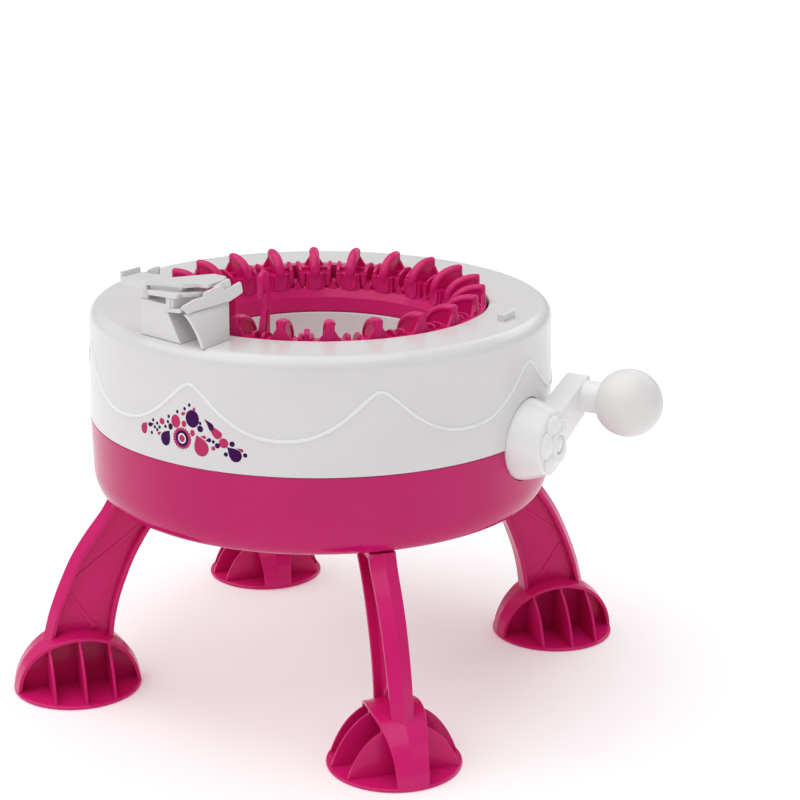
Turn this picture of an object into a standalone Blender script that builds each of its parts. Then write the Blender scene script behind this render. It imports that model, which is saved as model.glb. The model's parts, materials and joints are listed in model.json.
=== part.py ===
"""Circular knitting machine with 22 needles, a hand crank and four legs.

Lengths in this file are millimetres until add_node scales them to metres.
+X runs along the crank axis, outward. +Z is up and the feet stand at z = 0.
The machine axis is the vertical line x = AXIS_X, y = 0. Plan positions below
are given relative to that axis.
"""
import bpy
import math
from mathutils import Matrix, Vector

MM = 0.001
GAP = 0.3

# Casings
CASING_R = 110.0
CASING_SEAM_R = 111.0
CASING_TOP_Z = 185.1
SEAM_Z = 131.5
FLOOR_Z = 93.3
WALL = 2.5
OPENING_R = 80.1
LIP_WIDTH = 2.0
LIP_DEPTH = 4.0
TOP_FILLET = 6.0
FLOOR_CURVE_R = 102.4
FLOOR_CURVE_WIDTH = 8.0
FLOOR_CURVE_HEIGHT = 14.0
CASING_SEGMENTS = 44
TAB_LOW = (92.2, 3.5, CASING_TOP_Z - 1.5)
TAB_HIGH = (96.2, 15.0, CASING_TOP_Z + 3.5)

# Casing screws and the posts they run in
SCREW_RING_R = 101.0
SCREW_ANGLES = (22.5, 112.5, 202.5, 292.5)
POST_R = 4.0
POST_BORE_R = 1.6
POST_WELL_R = 3.0
WELL_TOP_Z = SEAM_Z - 5.0
CASING_SCREW_R = 1.4
CASING_SCREW_HEAD_R = 2.7
CASING_SCREW_TOP_Z = SEAM_Z + 14.0
SCREW_HEAD_HEIGHT = 2.2

# Sleeve and needle cylinder
SLEEVE_IN_R = 59.4
SLEEVE_OUT_R = 61.0
SLEEVE_FLANGE_R = 62.6
SLEEVE_FLANGE_HEIGHT = 2.0
SLEEVE_TOP_Z = 163.2
BAND_R = 60.6
BAND_LOW_Z = 163.5
BAND_TOP_Z = 170.7
CHANNEL_R = 63.2
RIB_OUT_R = 73.5
CYLINDER_SEGMENTS = 66
POCKET_IN_R = 74.7
POCKET_TOP_Z = 172.8
RING_WALL_R = 76.4
CROWN_OUT_R = 79.0
CYLINDER_BOTTOM_Z = 108.0
FLANGE_R = 94.0
FLANGE_Z = 152.5
FLANGE_TOP_Z = 156.0
WINDOW_Z = 175.0
WINDOW_BACK_R = 66.5
DECK_Z = 182.2
RING_IN_R = 71.5
RING_TOP_Z = 184.2
PRONG_OUTLINE = ((67.0, 181.0), (76.6, 181.0), (76.6, 184.6), (74.6, 186.5), (67.0, 183.6))
PRONG_THICK = 2.0
PRONG_OFFSET = 2.5
WIRE_R = 75.5
WIRE_Z = 171.9
WIRE_THICK_R = 0.6

# Needles
NEEDLES = 22
PITCH_DEG = 360.0 / NEEDLES
NEEDLE_PHASE_DEG = 1.675
NEEDLE_THICK = 2.1
NEEDLE_MID_R = 69.0
SLOT_WIDTH = 2.7
LOW_TOP_Z = 179.0
HIGH_TOP_Z = 213.5
NEEDLE_LENGTH = 74.0
BUTT_TO_TOP = 68.5
BUTT_HEIGHT = 4.0
BUTT_END_R = 76.2
LIFT_POINTS = (
    (216.0, LOW_TOP_Z),
    (230.8, 187.0),
    (247.1, 196.5),
    (263.5, 206.5),
    (279.9, HIGH_TOP_Z),
    (283.0, HIGH_TOP_Z),
    (296.2, 188.0),
    (303.0, LOW_TOP_Z),
)

# Cam ring
CAM_START_DEG = 1.5
CAM_SEGMENTS = 66
CAM_IN_R = RING_WALL_R + 0.1
CAM_OUT_R = 80.5
TRACK_BED_R = 79.0
TRACK_HALF_HEIGHT = 2.6

# Fins
FIN_THICK = 4.7
FIN_IN_R = 61.2
FIN_OUT_R = 78.4
FIN_TOP_Z = 193.4
FIN_LOW_Z = 182.2
FIN_ROOT_Z = 178.0
FIN_CREST_R = 76.0
FIN_PANEL_HALF = 4.2
FIN_PANEL_LOW_Z = 172.0
FIN_PANEL_TOP_Z = 182.0
GUSSET_LOW_HALF = 6.2
GUSSET_TOP_HALF = 2.0
GUSSET_TOP_Z = 190.5

# Crank drive
CRANK_Z = 132.3
RING_TEETH = 66
PINION_TEETH = 11
RING_GEAR_MID_R = 88.0
MODULE = 2.0 * RING_GEAR_MID_R / RING_TEETH
PINION_R = MODULE * PINION_TEETH / 2.0
ADDENDUM = 2.3
DEDENDUM = 2.9
RING_GEAR_IN_R = 83.0
RING_GEAR_OUT_R = 93.0
TOOTH_INSET = 1.5
RING_TOOTH_ROOT_HALF = 2.55
RING_TOOTH_TIP_HALF = 0.75
PINION_ROOT_HALF = 2.3
PINION_PITCH_HALF = 1.6
PINION_TIP_HALF = 0.7
PINION_FACE = (85.6, 90.6)
PINION_HUB = (84.0, 93.2)
PINION_HUB_R = 6.5
SHAFT_R = 3.0
SHAFT_PRESS = 0.05
SHAFT_SPAN = (82.5, 120.2)
BEARING_LOW_X = 95.0
BEARING_HIGH_X = 99.5
BEARING_HALF = 8.0
BEARING_PLAY = 0.08

# Crank
ARM_DEG = 21.07
ARM_LENGTH = 37.8
HUB_BACK_X = 104.8
HUB_FACE_X = 124.0
HUB_R = 19.2
HUB_FACE_R = 14.5
HUB_CLEARANCE = 0.5
HUB_SHOULDER = ((HUB_R, 110.5), (18.2, 114.5), (16.8, 119.0), (15.6, 122.4))
ARM_BACK_X = 112.5
ARM_OUTLINE = ((2.0, -9.2), (44.0, -7.8), (45.0, -6.8), (45.0, 6.8), (44.0, 7.8), (2.0, 9.8))
NECK_R = 7.5
NECK_ROOT_X = 118.0
NECK_END_X = 133.0
KNOB_R = 16.1
KNOB_X = 145.8
KNOB_CAP_DEG = 84.0
PIN_R = 2.5
PIN_ROOT_X = 114.3
PIN_SEAT_X = 153.6
PIN_HEAD_R = 3.1
PIN_HEAD_X = 155.6
PIN_END_X = 156.3
PETALS = 5
PETAL_IN_R = 10.6
PETAL_RISE = 2.6
PETAL_TURN_DEG = 105.0
PETAL_THICK = 2.0
BUTTON_R = 4.6

# Legs
FOOT_RING_R = 123.3
FOOT_R = 30.65
FOOT_TOP_Z = 29.0
FOOT_DISC_HEIGHT = 1.8
LEG_TURN_DEG = 1.5
LEG_ANGLES = tuple(45.0 + 90.0 * quarter + LEG_TURN_DEG for quarter in range(4))
LEG_NAMES = ("right_back", "left_back", "left_front", "right_front")
LEG_OUTER = (
    (104.0, 91.2),
    (107.8, 86.0),
    (115.4, 76.0),
    (122.6, 64.7),
    (128.9, 51.0),
    (132.8, 40.8),
    (135.0, 33.4),
    (137.5, 24.0),
)
LEG_INNER = (
    (76.9, 91.2),
    (80.8, 86.0),
    (87.5, 77.0),
    (94.0, 65.7),
    (98.4, 55.5),
    (102.5, 43.8),
    (105.2, 31.3),
    (106.5, 18.0),
)
LEG_WEB = 3.0
LEG_FLANGE = 2.4
LEG_HALF_WIDTH = 6.0
LEG_HEAD_LOW = (77.0, -6.0, 90.0)
LEG_HEAD_HIGH = (104.6, 6.0, FLOOR_Z - GAP)
TENON_R = 90.0
TENON_HALF_LENGTH = 5.6
TENON_HALF_WIDTH = 4.1
SOCKET_CLEARANCE = 0.4
LEG_SCREW_R = 1.2
LEG_SCREW_HEAD_R = 6.5
LEG_SCREW_DEPTH = 9.0
ARCH_THICK = 2.4
ARCH_HALF_WIDTH = 7.0
KEEL_THICK = 2.2
RIB_OFFSETS = (-14.2, 0.0, 14.2)
RIB_THICK = 2.0

# Yarn guide
GUIDE_LOW_Z = CASING_TOP_Z + GAP
BLOCK_TOP_Z = 201.8
BLOCK_LOW_OUTLINE = ((-33.0, -99.4), (-7.4, -105.3), (-7.4, -88.0), (-33.0, -86.0))
BLOCK_TOP_OUTLINE = ((-33.0, -99.4), (-15.6, -103.4), (-15.6, -88.0), (-33.0, -86.0))
SIDE_LOW = ((3.4, -106.6), (6.0, -107.0), (6.0, -87.0), (3.4, -87.0))
SIDE_TOP = ((-6.6, -103.9, 198.4), (-4.4, -105.3, 198.4), (6.0, -87.0, 202.2), (3.4, -87.0, 202.2))
BACK_LOW = (-9.0, -90.0, GUIDE_LOW_Z)
BACK_HIGH = (5.0, -87.2, 200.0)
BRACKET_OUTLINE = ((-26.6, -102.4), (-24.8, -104.4), (-9.6, -104.6), (-10.2, -96.8), (-12.0, -88.4), (-29.5, -88.4))
BRACKET_LOW_Z = 205.0
BRACKET_TOP_Z = 206.6
POST_FOOT_Z = BLOCK_TOP_Z + GAP
FRONT_POST = ((-18.0, -102.6), (-15.8, -100.4))
BACK_POST = ((-30.0, -92.0), (-27.0, -88.6))
TOP_LOW_Z = 206.9
TOP_PLATE_Z = 209.0
TOP_HIGH_Z = 211.0
TOP_OUTLINE = (
    (-41.9, -102.1),
    (-20.2, -104.4),
    (-8.2, -101.7),
    (-3.8, -94.9),
    (0.4, -95.1),
    (1.2, -84.6),
    (-1.6, -77.4),
    (-9.3, -76.0),
    (-21.6, -92.0),
    (-40.9, -89.6),
)
WING_OUTLINE = ((-41.9, -102.1), (-26.8, -103.7), (-26.8, -90.8), (-40.9, -89.6))
END_LIP_OUTLINE = ((-41.9, -102.1), (-40.3, -102.3), (-39.3, -89.8), (-40.9, -89.6))
END_LIP_TOP_Z = 213.2
FEEDER_THICK = 1.8
FEEDER_FOOT = (-3.6, -103.4)
FEEDER_DEG = 57.5
FEEDER_OUTLINE = (
    (-1.2, 198.9),
    (2.4, 200.0),
    (19.2, 203.0),
    (25.1, 206.1),
    (24.3, 211.2),
    (18.8, 208.7),
    (16.3, 208.4),
    (14.9, 210.5),
    (6.5, 207.9),
    (6.5, 206.0),
    (2.0, 205.2),
    (-3.7, 202.5),
    (-3.7, 201.6),
)

FOOT_EXTENT = FOOT_RING_R * math.cos(math.radians(45.0 - LEG_TURN_DEG)) + FOOT_R
AXIS_X = -(KNOB_X + KNOB_R * math.sin(math.radians(KNOB_CAP_DEG)) - FOOT_EXTENT) / 2.0


def clear_scene():
    for obj in list(bpy.data.objects):
        bpy.data.objects.remove(obj, do_unlink=True)


def make_material(name, colour, roughness, metallic=0.0):
    material = bpy.data.materials.new(name)
    material.use_nodes = True
    shader = material.node_tree.nodes["Principled BSDF"]
    shader.inputs["Base Color"].default_value = (colour[0], colour[1], colour[2], 1.0)
    shader.inputs["Roughness"].default_value = roughness
    shader.inputs["Metallic"].default_value = metallic
    material.diffuse_color = (colour[0], colour[1], colour[2], 1.0)
    return material


def shape(verts, faces):
    """A piece of geometry in millimetres: a vertex list and a face list."""
    return [Vector(v) for v in verts], [tuple(f) for f in faces]


def moved(piece, matrix):
    verts, faces = piece
    return [matrix @ v for v in verts], faces


def turned(piece, degrees):
    return moved(piece, Matrix.Rotation(math.radians(degrees), 4, "Z"))


def joined(pieces):
    verts = []
    faces = []
    for piece in pieces:
        start = len(verts)
        verts.extend(piece[0])
        faces.extend(tuple(i + start for i in face) for face in piece[1])
    return verts, faces


def revolved(profile, segments=CASING_SEGMENTS, start=0.0):
    """Ring from a closed (r, z) profile that keeps clear of the axis, listed counter-clockwise."""
    verts = []
    faces = []
    count = len(profile)
    for step in range(segments):
        angle = math.radians(start) + 2.0 * math.pi * step / segments
        for radius, height in profile:
            verts.append((radius * math.cos(angle), radius * math.sin(angle), height))
    for step in range(segments):
        here = step * count
        there = ((step + 1) % segments) * count
        for i in range(count):
            j = (i + 1) % count
            faces.append((here + i, there + i, there + j, here + j))
    return shape(verts, faces)


def turned_solid(profile, segments=32):
    """Solid of revolution about Z. The open (r, z) profile runs upward, its ends are capped flat."""
    verts = []
    faces = []
    count = len(profile)
    for step in range(segments):
        angle = 2.0 * math.pi * step / segments
        for radius, height in profile:
            verts.append((radius * math.cos(angle), radius * math.sin(angle), height))
    for step in range(segments):
        here = step * count
        there = ((step + 1) % segments) * count
        for i in range(count - 1):
            faces.append((here + i, there + i, there + i + 1, here + i + 1))
    faces.append(tuple(step * count for step in reversed(range(segments))))
    faces.append(tuple(step * count + count - 1 for step in range(segments)))
    return shape(verts, faces)


def prism(outline, low, high):
    """Outline of (x, y) points, counter-clockwise, raised from z = low to z = high."""
    count = len(outline)
    verts = [(x, y, low) for x, y in outline] + [(x, y, high) for x, y in outline]
    faces = [tuple(reversed(range(count))), tuple(range(count, 2 * count))]
    for i in range(count):
        j = (i + 1) % count
        faces.append((i, j, count + j, count + i))
    return shape(verts, faces)


def loft(lower, upper):
    """Solid between two closed loops of (x, y, z) points with the same count."""
    count = len(lower)
    faces = [tuple(reversed(range(count))), tuple(range(count, 2 * count))]
    for i in range(count):
        j = (i + 1) % count
        faces.append((i, j, count + j, count + i))
    return shape(list(lower) + list(upper), faces)


def box(low, high):
    outline = [(low[0], low[1]), (high[0], low[1]), (high[0], high[1]), (low[0], high[1])]
    return prism(outline, low[2], high[2])


def radial_plate(outline, thickness, centre=0.0):
    """Plate lying in the radial plane: (r, z) outline, counter-clockwise, standing along +X."""
    half = thickness / 2.0
    piece = prism(outline, -half - centre, half - centre)
    stand_up = Matrix(((1, 0, 0, 0), (0, 0, -1, 0), (0, 1, 0, 0), (0, 0, 0, 1)))
    return moved(piece, stand_up)


def along_x(piece):
    """Turn a shape built about Z so that its axis lies on +X."""
    return moved(piece, Matrix(((0, 0, 1, 0), (1, 0, 0, 0), (0, 1, 0, 0), (0, 0, 0, 1))))


def shifted(piece, x, y, z):
    return moved(piece, Matrix.Translation((x, y, z)))


def to_mesh(name, piece):
    mesh = bpy.data.meshes.new(name)
    mesh.from_pydata([tuple(v) for v in piece[0]], [], piece[1])
    mesh.validate()
    mesh.update()
    return mesh


def combined(base, steps):
    """Apply (operation, piece) steps to a shape and return the resulting shape."""
    body = bpy.data.objects.new("work", to_mesh("work", base))
    bpy.context.scene.collection.objects.link(body)
    for operation, piece in steps:
        tool = bpy.data.objects.new("tool", to_mesh("tool", piece))
        bpy.context.scene.collection.objects.link(tool)
        modifier = body.modifiers.new("cut", "BOOLEAN")
        modifier.operation = operation
        modifier.solver = "EXACT"
        modifier.object = tool
        bpy.context.view_layer.update()
        graph = bpy.context.evaluated_depsgraph_get()
        result = bpy.data.meshes.new_from_object(body.evaluated_get(graph))
        body.modifiers.remove(modifier)
        body.data = result
        bpy.data.objects.remove(tool, do_unlink=True)
    verts = [v.co.copy() for v in body.data.vertices]
    faces = [tuple(p.vertices) for p in body.data.polygons]
    bpy.data.objects.remove(body, do_unlink=True)
    return verts, faces


def add_node(name, piece, material, origin=(0.0, 0.0, 0.0)):
    """Place a shape, given about the machine axis, as a named object in metres."""
    centre = Vector(origin)
    local = [(v - centre) * MM for v in piece[0]]
    obj = bpy.data.objects.new(name, to_mesh(name, (local, piece[1])))
    obj.data.materials.append(material)
    obj.location = (centre + Vector((AXIS_X, 0.0, 0.0))) * MM
    bpy.context.scene.collection.objects.link(obj)
    return obj


def arc(centre, radius_x, radius_y, start, end, count):
    """Points along an elliptic arc, angles in degrees."""
    points = []
    for i in range(count + 1):
        angle = math.radians(start + (end - start) * i / count)
        points.append((centre[0] + radius_x * math.cos(angle), centre[1] + radius_y * math.sin(angle)))
    return points


def lift(angle):
    """Top height of a needle standing at this angle, from the cam track."""
    angle = angle % 360.0
    if angle <= LIFT_POINTS[0][0] or angle >= LIFT_POINTS[-1][0]:
        return LOW_TOP_Z
    for (a0, z0), (a1, z1) in zip(LIFT_POINTS, LIFT_POINTS[1:]):
        if a0 <= angle <= a1:
            return z0 + (z1 - z0) * (angle - a0) / (a1 - a0)
    return LOW_TOP_Z


def upper_casing_shape():
    foot = SEAM_Z + GAP / 2
    outside = [(CASING_SEAM_R, foot)]
    outside += arc((CASING_R - TOP_FILLET, CASING_TOP_Z - TOP_FILLET), TOP_FILLET, TOP_FILLET, 0, 90, 3)
    lip_z = CASING_TOP_Z - LIP_DEPTH
    lip = [(OPENING_R, CASING_TOP_Z), (OPENING_R, lip_z), (OPENING_R + LIP_WIDTH, lip_z)]
    roof = [(OPENING_R + LIP_WIDTH, CASING_TOP_Z - WALL), (CASING_R - TOP_FILLET, CASING_TOP_Z - WALL)]
    inside = [(CASING_R - WALL, CASING_TOP_Z - TOP_FILLET), (CASING_SEAM_R - WALL, foot)]
    shell = revolved(outside + lip + roof + inside)
    steps = [("UNION", box(TAB_LOW, TAB_HIGH))]
    steps += [("UNION", post) for post in on_screw_ring(POST_R, SEAM_Z + 1.0, CASING_TOP_Z - WALL / 2, 10)]
    steps += [("DIFFERENCE", bore) for bore in on_screw_ring(POST_BORE_R, WELL_TOP_Z, SEAM_Z + 22.0, 8)]
    steps.append(("DIFFERENCE", hub_cutter()))
    return combined(shell, steps)


def on_screw_ring(radius, low, high, segments):
    """Four upright cylinders, one at each casing screw."""
    upright = shifted(turned_solid([(radius, low), (radius, high)], segments), SCREW_RING_R, 0, 0)
    return [turned(upright, angle) for angle in SCREW_ANGLES]


def hub_cutter():
    """Round clearance for the crank hub through the casing wall."""
    radius = HUB_R + HUB_CLEARANCE
    return at_crank(turned_solid([(radius, CASING_R - 12.0), (radius, CASING_R + 8.0)], 48))


def lower_casing_shape():
    curve_z = FLOOR_Z + FLOOR_CURVE_HEIGHT
    top = SEAM_Z - GAP / 2
    outside = [(FLOOR_CURVE_R + 0.6, FLOOR_Z)]
    outside += arc((FLOOR_CURVE_R, curve_z), FLOOR_CURVE_WIDTH, FLOOR_CURVE_HEIGHT, -75, 0, 3)
    outside += [(CASING_SEAM_R, top), (CASING_SEAM_R - WALL, top)]
    inside = [(CASING_R - 2.1, curve_z), (CASING_R - 5.0, FLOOR_Z + 4.6), (FLOOR_CURVE_R - 0.9, FLOOR_Z + WALL)]
    bore = [(SLEEVE_IN_R, FLOOR_Z + WALL), (SLEEVE_IN_R, FLOOR_Z)]
    shell = revolved(outside + inside + bore)
    steps = [("UNION", post) for post in on_screw_ring(POST_R, FLOOR_Z + 1.0, SEAM_Z - GAP, 10)]
    steps += [("DIFFERENCE", well) for well in on_screw_ring(POST_WELL_R, FLOOR_Z - 2.0, WELL_TOP_Z, 8)]
    steps += [("DIFFERENCE", bore) for bore in on_screw_ring(POST_BORE_R, WELL_TOP_Z - 1.0, SEAM_Z + 5.0, 8)]
    socket_length = TENON_HALF_LENGTH + SOCKET_CLEARANCE
    socket_width = TENON_HALF_WIDTH + SOCKET_CLEARANCE
    socket = box((TENON_R - socket_length, -socket_width, FLOOR_Z - 2.0),
                 (TENON_R + socket_length, socket_width, FLOOR_Z + 6.0))
    steps += [("DIFFERENCE", turned(socket, angle)) for angle in LEG_ANGLES]
    steps.append(("DIFFERENCE", hub_cutter()))
    return combined(shell, steps)


def sleeve_shape():
    foot = FLOOR_Z + WALL + GAP
    step_z = foot + SLEEVE_FLANGE_HEIGHT
    return revolved([
        (SLEEVE_IN_R, foot),
        (SLEEVE_FLANGE_R, foot),
        (SLEEVE_FLANGE_R, step_z),
        (SLEEVE_OUT_R, step_z),
        (SLEEVE_OUT_R, SLEEVE_TOP_Z),
        (SLEEVE_IN_R, SLEEVE_TOP_Z),
    ])


def cam_ring_shape():
    """Ring wall whose inner face carries the track followed by the needle butts."""
    foot = FLOOR_Z + WALL + GAP
    top = FLANGE_Z - GAP
    verts = []
    faces = []
    for step in range(CAM_SEGMENTS):
        degrees = 360.0 * step / CAM_SEGMENTS + CAM_START_DEG
        angle = math.radians(degrees)
        track = lift(degrees) - BUTT_TO_TOP + BUTT_HEIGHT / 2
        section = [
            (CAM_IN_R, foot),
            (CAM_OUT_R, foot),
            (CAM_OUT_R, top),
            (CAM_IN_R, top),
            (CAM_IN_R, track + TRACK_HALF_HEIGHT),
            (TRACK_BED_R, track + TRACK_HALF_HEIGHT),
            (TRACK_BED_R, track - TRACK_HALF_HEIGHT),
            (CAM_IN_R, track - TRACK_HALF_HEIGHT),
        ]
        for radius, height in section:
            verts.append((radius * math.cos(angle), radius * math.sin(angle), height))
    count = len(section)
    for step in range(CAM_SEGMENTS):
        here = step * count
        there = ((step + 1) % CAM_SEGMENTS) * count
        for i in range(count):
            j = (i + 1) % count
            faces.append((here + i, there + i, there + j, here + j))
    return shape(verts, faces)


def cylinder_shape():
    core = revolved([
        (SLEEVE_OUT_R + GAP, CYLINDER_BOTTOM_Z),
        (RIB_OUT_R, CYLINDER_BOTTOM_Z),
        (RIB_OUT_R, FLANGE_Z),
        (POCKET_IN_R, FLANGE_Z),
        (POCKET_IN_R, POCKET_TOP_Z),
        (RING_WALL_R, POCKET_TOP_Z),
        (RING_WALL_R, FLANGE_Z),
        (FLANGE_R, FLANGE_Z),
        (FLANGE_R, FLANGE_TOP_Z),
        (CROWN_OUT_R, FLANGE_TOP_Z),
        (CROWN_OUT_R, RING_TOP_Z),
        (RING_IN_R, RING_TOP_Z),
        (RING_IN_R, DECK_Z),
        (WINDOW_BACK_R, DECK_Z),
        (WINDOW_BACK_R, WINDOW_Z),
        (CHANNEL_R, WINDOW_Z),
        (BAND_R, BAND_TOP_Z),
        (BAND_R, BAND_LOW_Z),
        (SLEEVE_OUT_R + GAP, BAND_LOW_Z),
    ], CYLINDER_SEGMENTS, NEEDLE_PHASE_DEG - 180.0 / CYLINDER_SEGMENTS)
    slot = box((CHANNEL_R, -SLOT_WIDTH / 2, CYLINDER_BOTTOM_Z - 8.0),
               (RING_WALL_R - 0.5, SLOT_WIDTH / 2, RING_TOP_Z + 6.0))
    prongs = joined([radial_plate(PRONG_OUTLINE, PRONG_THICK, side * PRONG_OFFSET) for side in (-1, 1)])
    fin = fin_shape()
    needle_angles = [NEEDLE_PHASE_DEG + PITCH_DEG * k for k in range(NEEDLES)]
    return combined(core, [
        ("DIFFERENCE", joined([turned(slot, angle) for angle in needle_angles])),
        ("UNION", joined([turned(prongs, angle) for angle in needle_angles])),
        ("UNION", joined([turned(fin, angle + PITCH_DEG / 2) for angle in needle_angles])),
    ])


def tapered_block(near, far, half_low, half_high, low, high, lean=0.0):
    """Block between radii near and far along +X that changes width with height; lean moves its top's near side."""
    lower = [(near, -half_low, low), (far, -half_low, low), (far, half_low, low), (near, half_low, low)]
    top_near = near + lean
    upper = [(top_near, -half_high, high), (far, -half_high, high), (far, half_high, high), (top_near, half_high, high)]
    return loft(lower, upper)


def fin_shape():
    """One crown fin with the gusset that braces it on the outer wall."""
    curve = arc((FIN_CREST_R, FIN_LOW_Z), FIN_CREST_R - FIN_IN_R, FIN_TOP_Z - FIN_LOW_Z, 90, 180, 4)
    root = [(BAND_R + 1.4, FIN_ROOT_Z), (FIN_OUT_R, FIN_ROOT_Z), (FIN_OUT_R, FIN_TOP_Z)]
    blade = radial_plate(root + curve, FIN_THICK)
    panel = tapered_block(FIN_IN_R, WINDOW_BACK_R + 0.5, FIN_PANEL_HALF, FIN_PANEL_HALF,
                          FIN_PANEL_LOW_Z, FIN_PANEL_TOP_Z, 2.4)
    gusset = tapered_block(FIN_OUT_R - 1.4, FIN_OUT_R + 0.3, GUSSET_LOW_HALF, GUSSET_TOP_HALF,
                           FIN_PANEL_TOP_Z, GUSSET_TOP_Z)
    return combined(blade, [("UNION", panel), ("UNION", gusset)])


def needle_outline(top):
    """Hooked needle in its radial plane; the short side step near the foot is the butt."""
    bottom = top - NEEDLE_LENGTH
    butt = top - BUTT_TO_TOP
    shank_r = 73.0
    back_r = 65.0
    return [
        (back_r, bottom),
        (70.0, bottom),
        (shank_r, bottom + 4.0),
        (shank_r, butt),
        (BUTT_END_R, butt),
        (BUTT_END_R, butt + BUTT_HEIGHT),
        (shank_r, butt + BUTT_HEIGHT),
        (shank_r, top - 20.0),
        (69.2, top - 15.5),
        (68.7, top - 8.0),
        (70.3, top - 5.6),
        (71.9, top - 6.4),
        (72.7, top - 8.8),
        (74.2, top - 8.2),
        (74.2, top - 4.4),
        (72.6, top - 1.4),
        (69.8, top),
        (66.8, top - 1.2),
        (64.2, top - 6.5),
        (back_r, top - 22.0),
    ]


def ring_gear_shape():
    """Crown gear: teeth point down from a flat rim."""
    pitch_z = CRANK_Z + PINION_R
    root_z = pitch_z + DEDENDUM
    top = FLANGE_Z - GAP
    rim = revolved([(RING_GEAR_IN_R, root_z), (RING_GEAR_OUT_R, root_z), (RING_GEAR_OUT_R, top), (RING_GEAR_IN_R, top)])
    tooth = tapered_block(RING_GEAR_IN_R + TOOTH_INSET, RING_GEAR_OUT_R - TOOTH_INSET,
                          RING_TOOTH_TIP_HALF, RING_TOOTH_ROOT_HALF, pitch_z - ADDENDUM, root_z + 0.6)
    spacing = 360.0 / RING_TEETH
    teeth = joined([turned(tooth, spacing * (i + 0.5)) for i in range(RING_TEETH)])
    return combined(rim, [("UNION", teeth)])


def pinion_shape():
    root = PINION_R - DEDENDUM
    tip = PINION_R + ADDENDUM
    flank = ((root, PINION_ROOT_HALF), (PINION_R, PINION_PITCH_HALF), (tip, PINION_TIP_HALF))
    points = []
    for i in range(PINION_TEETH):
        centre = math.radians(90.0 + 360.0 * i / PINION_TEETH)
        corners = [(r, centre - half / r) for r, half in flank]
        corners += [(r, centre + half / r) for r, half in reversed(flank)]
        points += [(r * math.cos(a), r * math.sin(a)) for r, a in corners]
    teeth = prism(points, *PINION_FACE)
    hub = turned_solid([(PINION_HUB_R, PINION_HUB[0]), (PINION_HUB_R, PINION_HUB[1])], 16)
    bore_r = SHAFT_R + SHAFT_PRESS
    bore = turned_solid([(bore_r, PINION_HUB[0] - 4.0), (bore_r, PINION_HUB[1] + 4.0)], 16)
    return at_crank(combined(teeth, [("UNION", hub), ("DIFFERENCE", bore)]))


def at_crank(piece):
    """Move a shape built about Z, with z as the distance along the crank, onto the crank axis."""
    return shifted(along_x(piece), 0, 0, CRANK_Z)


def bearing_shape():
    foot = FLOOR_Z + WALL + GAP
    block = box((BEARING_LOW_X, -BEARING_HALF, foot), (BEARING_HIGH_X, BEARING_HALF, CRANK_Z + BEARING_HALF))
    bore_r = SHAFT_R + BEARING_PLAY
    bore = at_crank(turned_solid([(bore_r, BEARING_LOW_X - 5.0), (bore_r, BEARING_HIGH_X + 5.0)], 16))
    return combined(block, [("DIFFERENCE", bore)])


def crank_shape():
    """Round hub, flat arm and the neck that carries the knob."""
    hub = turned_solid([(HUB_R - 1.0, HUB_BACK_X), (HUB_R, HUB_BACK_X + 1.0)] + list(HUB_SHOULDER)
                       + [(HUB_FACE_R, HUB_FACE_X)], 32)
    arm = moved(prism(ARM_OUTLINE, ARM_BACK_X, HUB_FACE_X - 0.02), Matrix.Rotation(math.radians(ARM_DEG), 4, "Z"))
    neck = shifted(turned_solid([(NECK_R, NECK_ROOT_X), (NECK_R, NECK_END_X)], 20), *knob_offset(), 0)
    shaft_r = SHAFT_R + SHAFT_PRESS
    pin_r = PIN_R + SHAFT_PRESS
    shaft_bore = turned_solid([(shaft_r, HUB_BACK_X - 4.8), (shaft_r, SHAFT_SPAN[1] + GAP)], 16)
    pin_bore = shifted(turned_solid([(pin_r, PIN_ROOT_X - GAP), (pin_r, NECK_END_X + 7.0)], 16), *knob_offset(), 0)
    return at_crank(combined(hub, [
        ("UNION", arm),
        ("UNION", neck),
        ("DIFFERENCE", shaft_bore),
        ("DIFFERENCE", pin_bore),
    ]))


def knob_offset():
    angle = math.radians(ARM_DEG)
    return ARM_LENGTH * math.cos(angle), ARM_LENGTH * math.sin(angle)


def knob_shape():
    """Ball with a stepped bore: the wide end takes the head of the pin."""
    face = NECK_END_X + GAP
    start = math.degrees(math.asin((face - KNOB_X) / KNOB_R))
    ball = turned_solid(arc((0.0, KNOB_X), KNOB_R, KNOB_R, start, KNOB_CAP_DEG, 9), 28)
    seat = PIN_SEAT_X - 0.4
    play = 0.1
    bore = turned_solid([
        (PIN_R + play, NECK_END_X - 8.0),
        (PIN_R + play, seat),
        (PIN_HEAD_R + GAP, seat),
        (PIN_HEAD_R + GAP, PIN_END_X + GAP),
    ], 12)
    return at_crank(shifted(combined(ball, [("DIFFERENCE", bore)]), *knob_offset(), 0))


def knob_pin_shape():
    profile = [(PIN_R, PIN_ROOT_X), (PIN_R, PIN_SEAT_X), (PIN_HEAD_R, PIN_SEAT_X), (PIN_HEAD_R, PIN_HEAD_X),
               (PIN_HEAD_R - 0.9, PIN_END_X)]
    return at_crank(shifted(turned_solid(profile, 16), *knob_offset(), 0))


def flower_shape():
    """Five-petalled cap with a round button."""
    points = []
    steps = 8 * PETALS
    for i in range(steps):
        angle = 2.0 * math.pi * i / steps
        lobe = abs(math.cos(PETALS / 2.0 * (angle - math.radians(PETAL_TURN_DEG))))
        radius = PETAL_IN_R + PETAL_RISE * lobe ** 0.7
        points.append((radius * math.cos(angle), radius * math.sin(angle)))
    face = HUB_FACE_X + GAP
    petals = prism(points, face, face + PETAL_THICK)
    button = turned_solid([(BUTTON_R, face + 1.0), (BUTTON_R, face + 2.6), (BUTTON_R - 0.7, face + 3.0)], 16)
    return at_crank(combined(petals, [("UNION", button)]))


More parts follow.
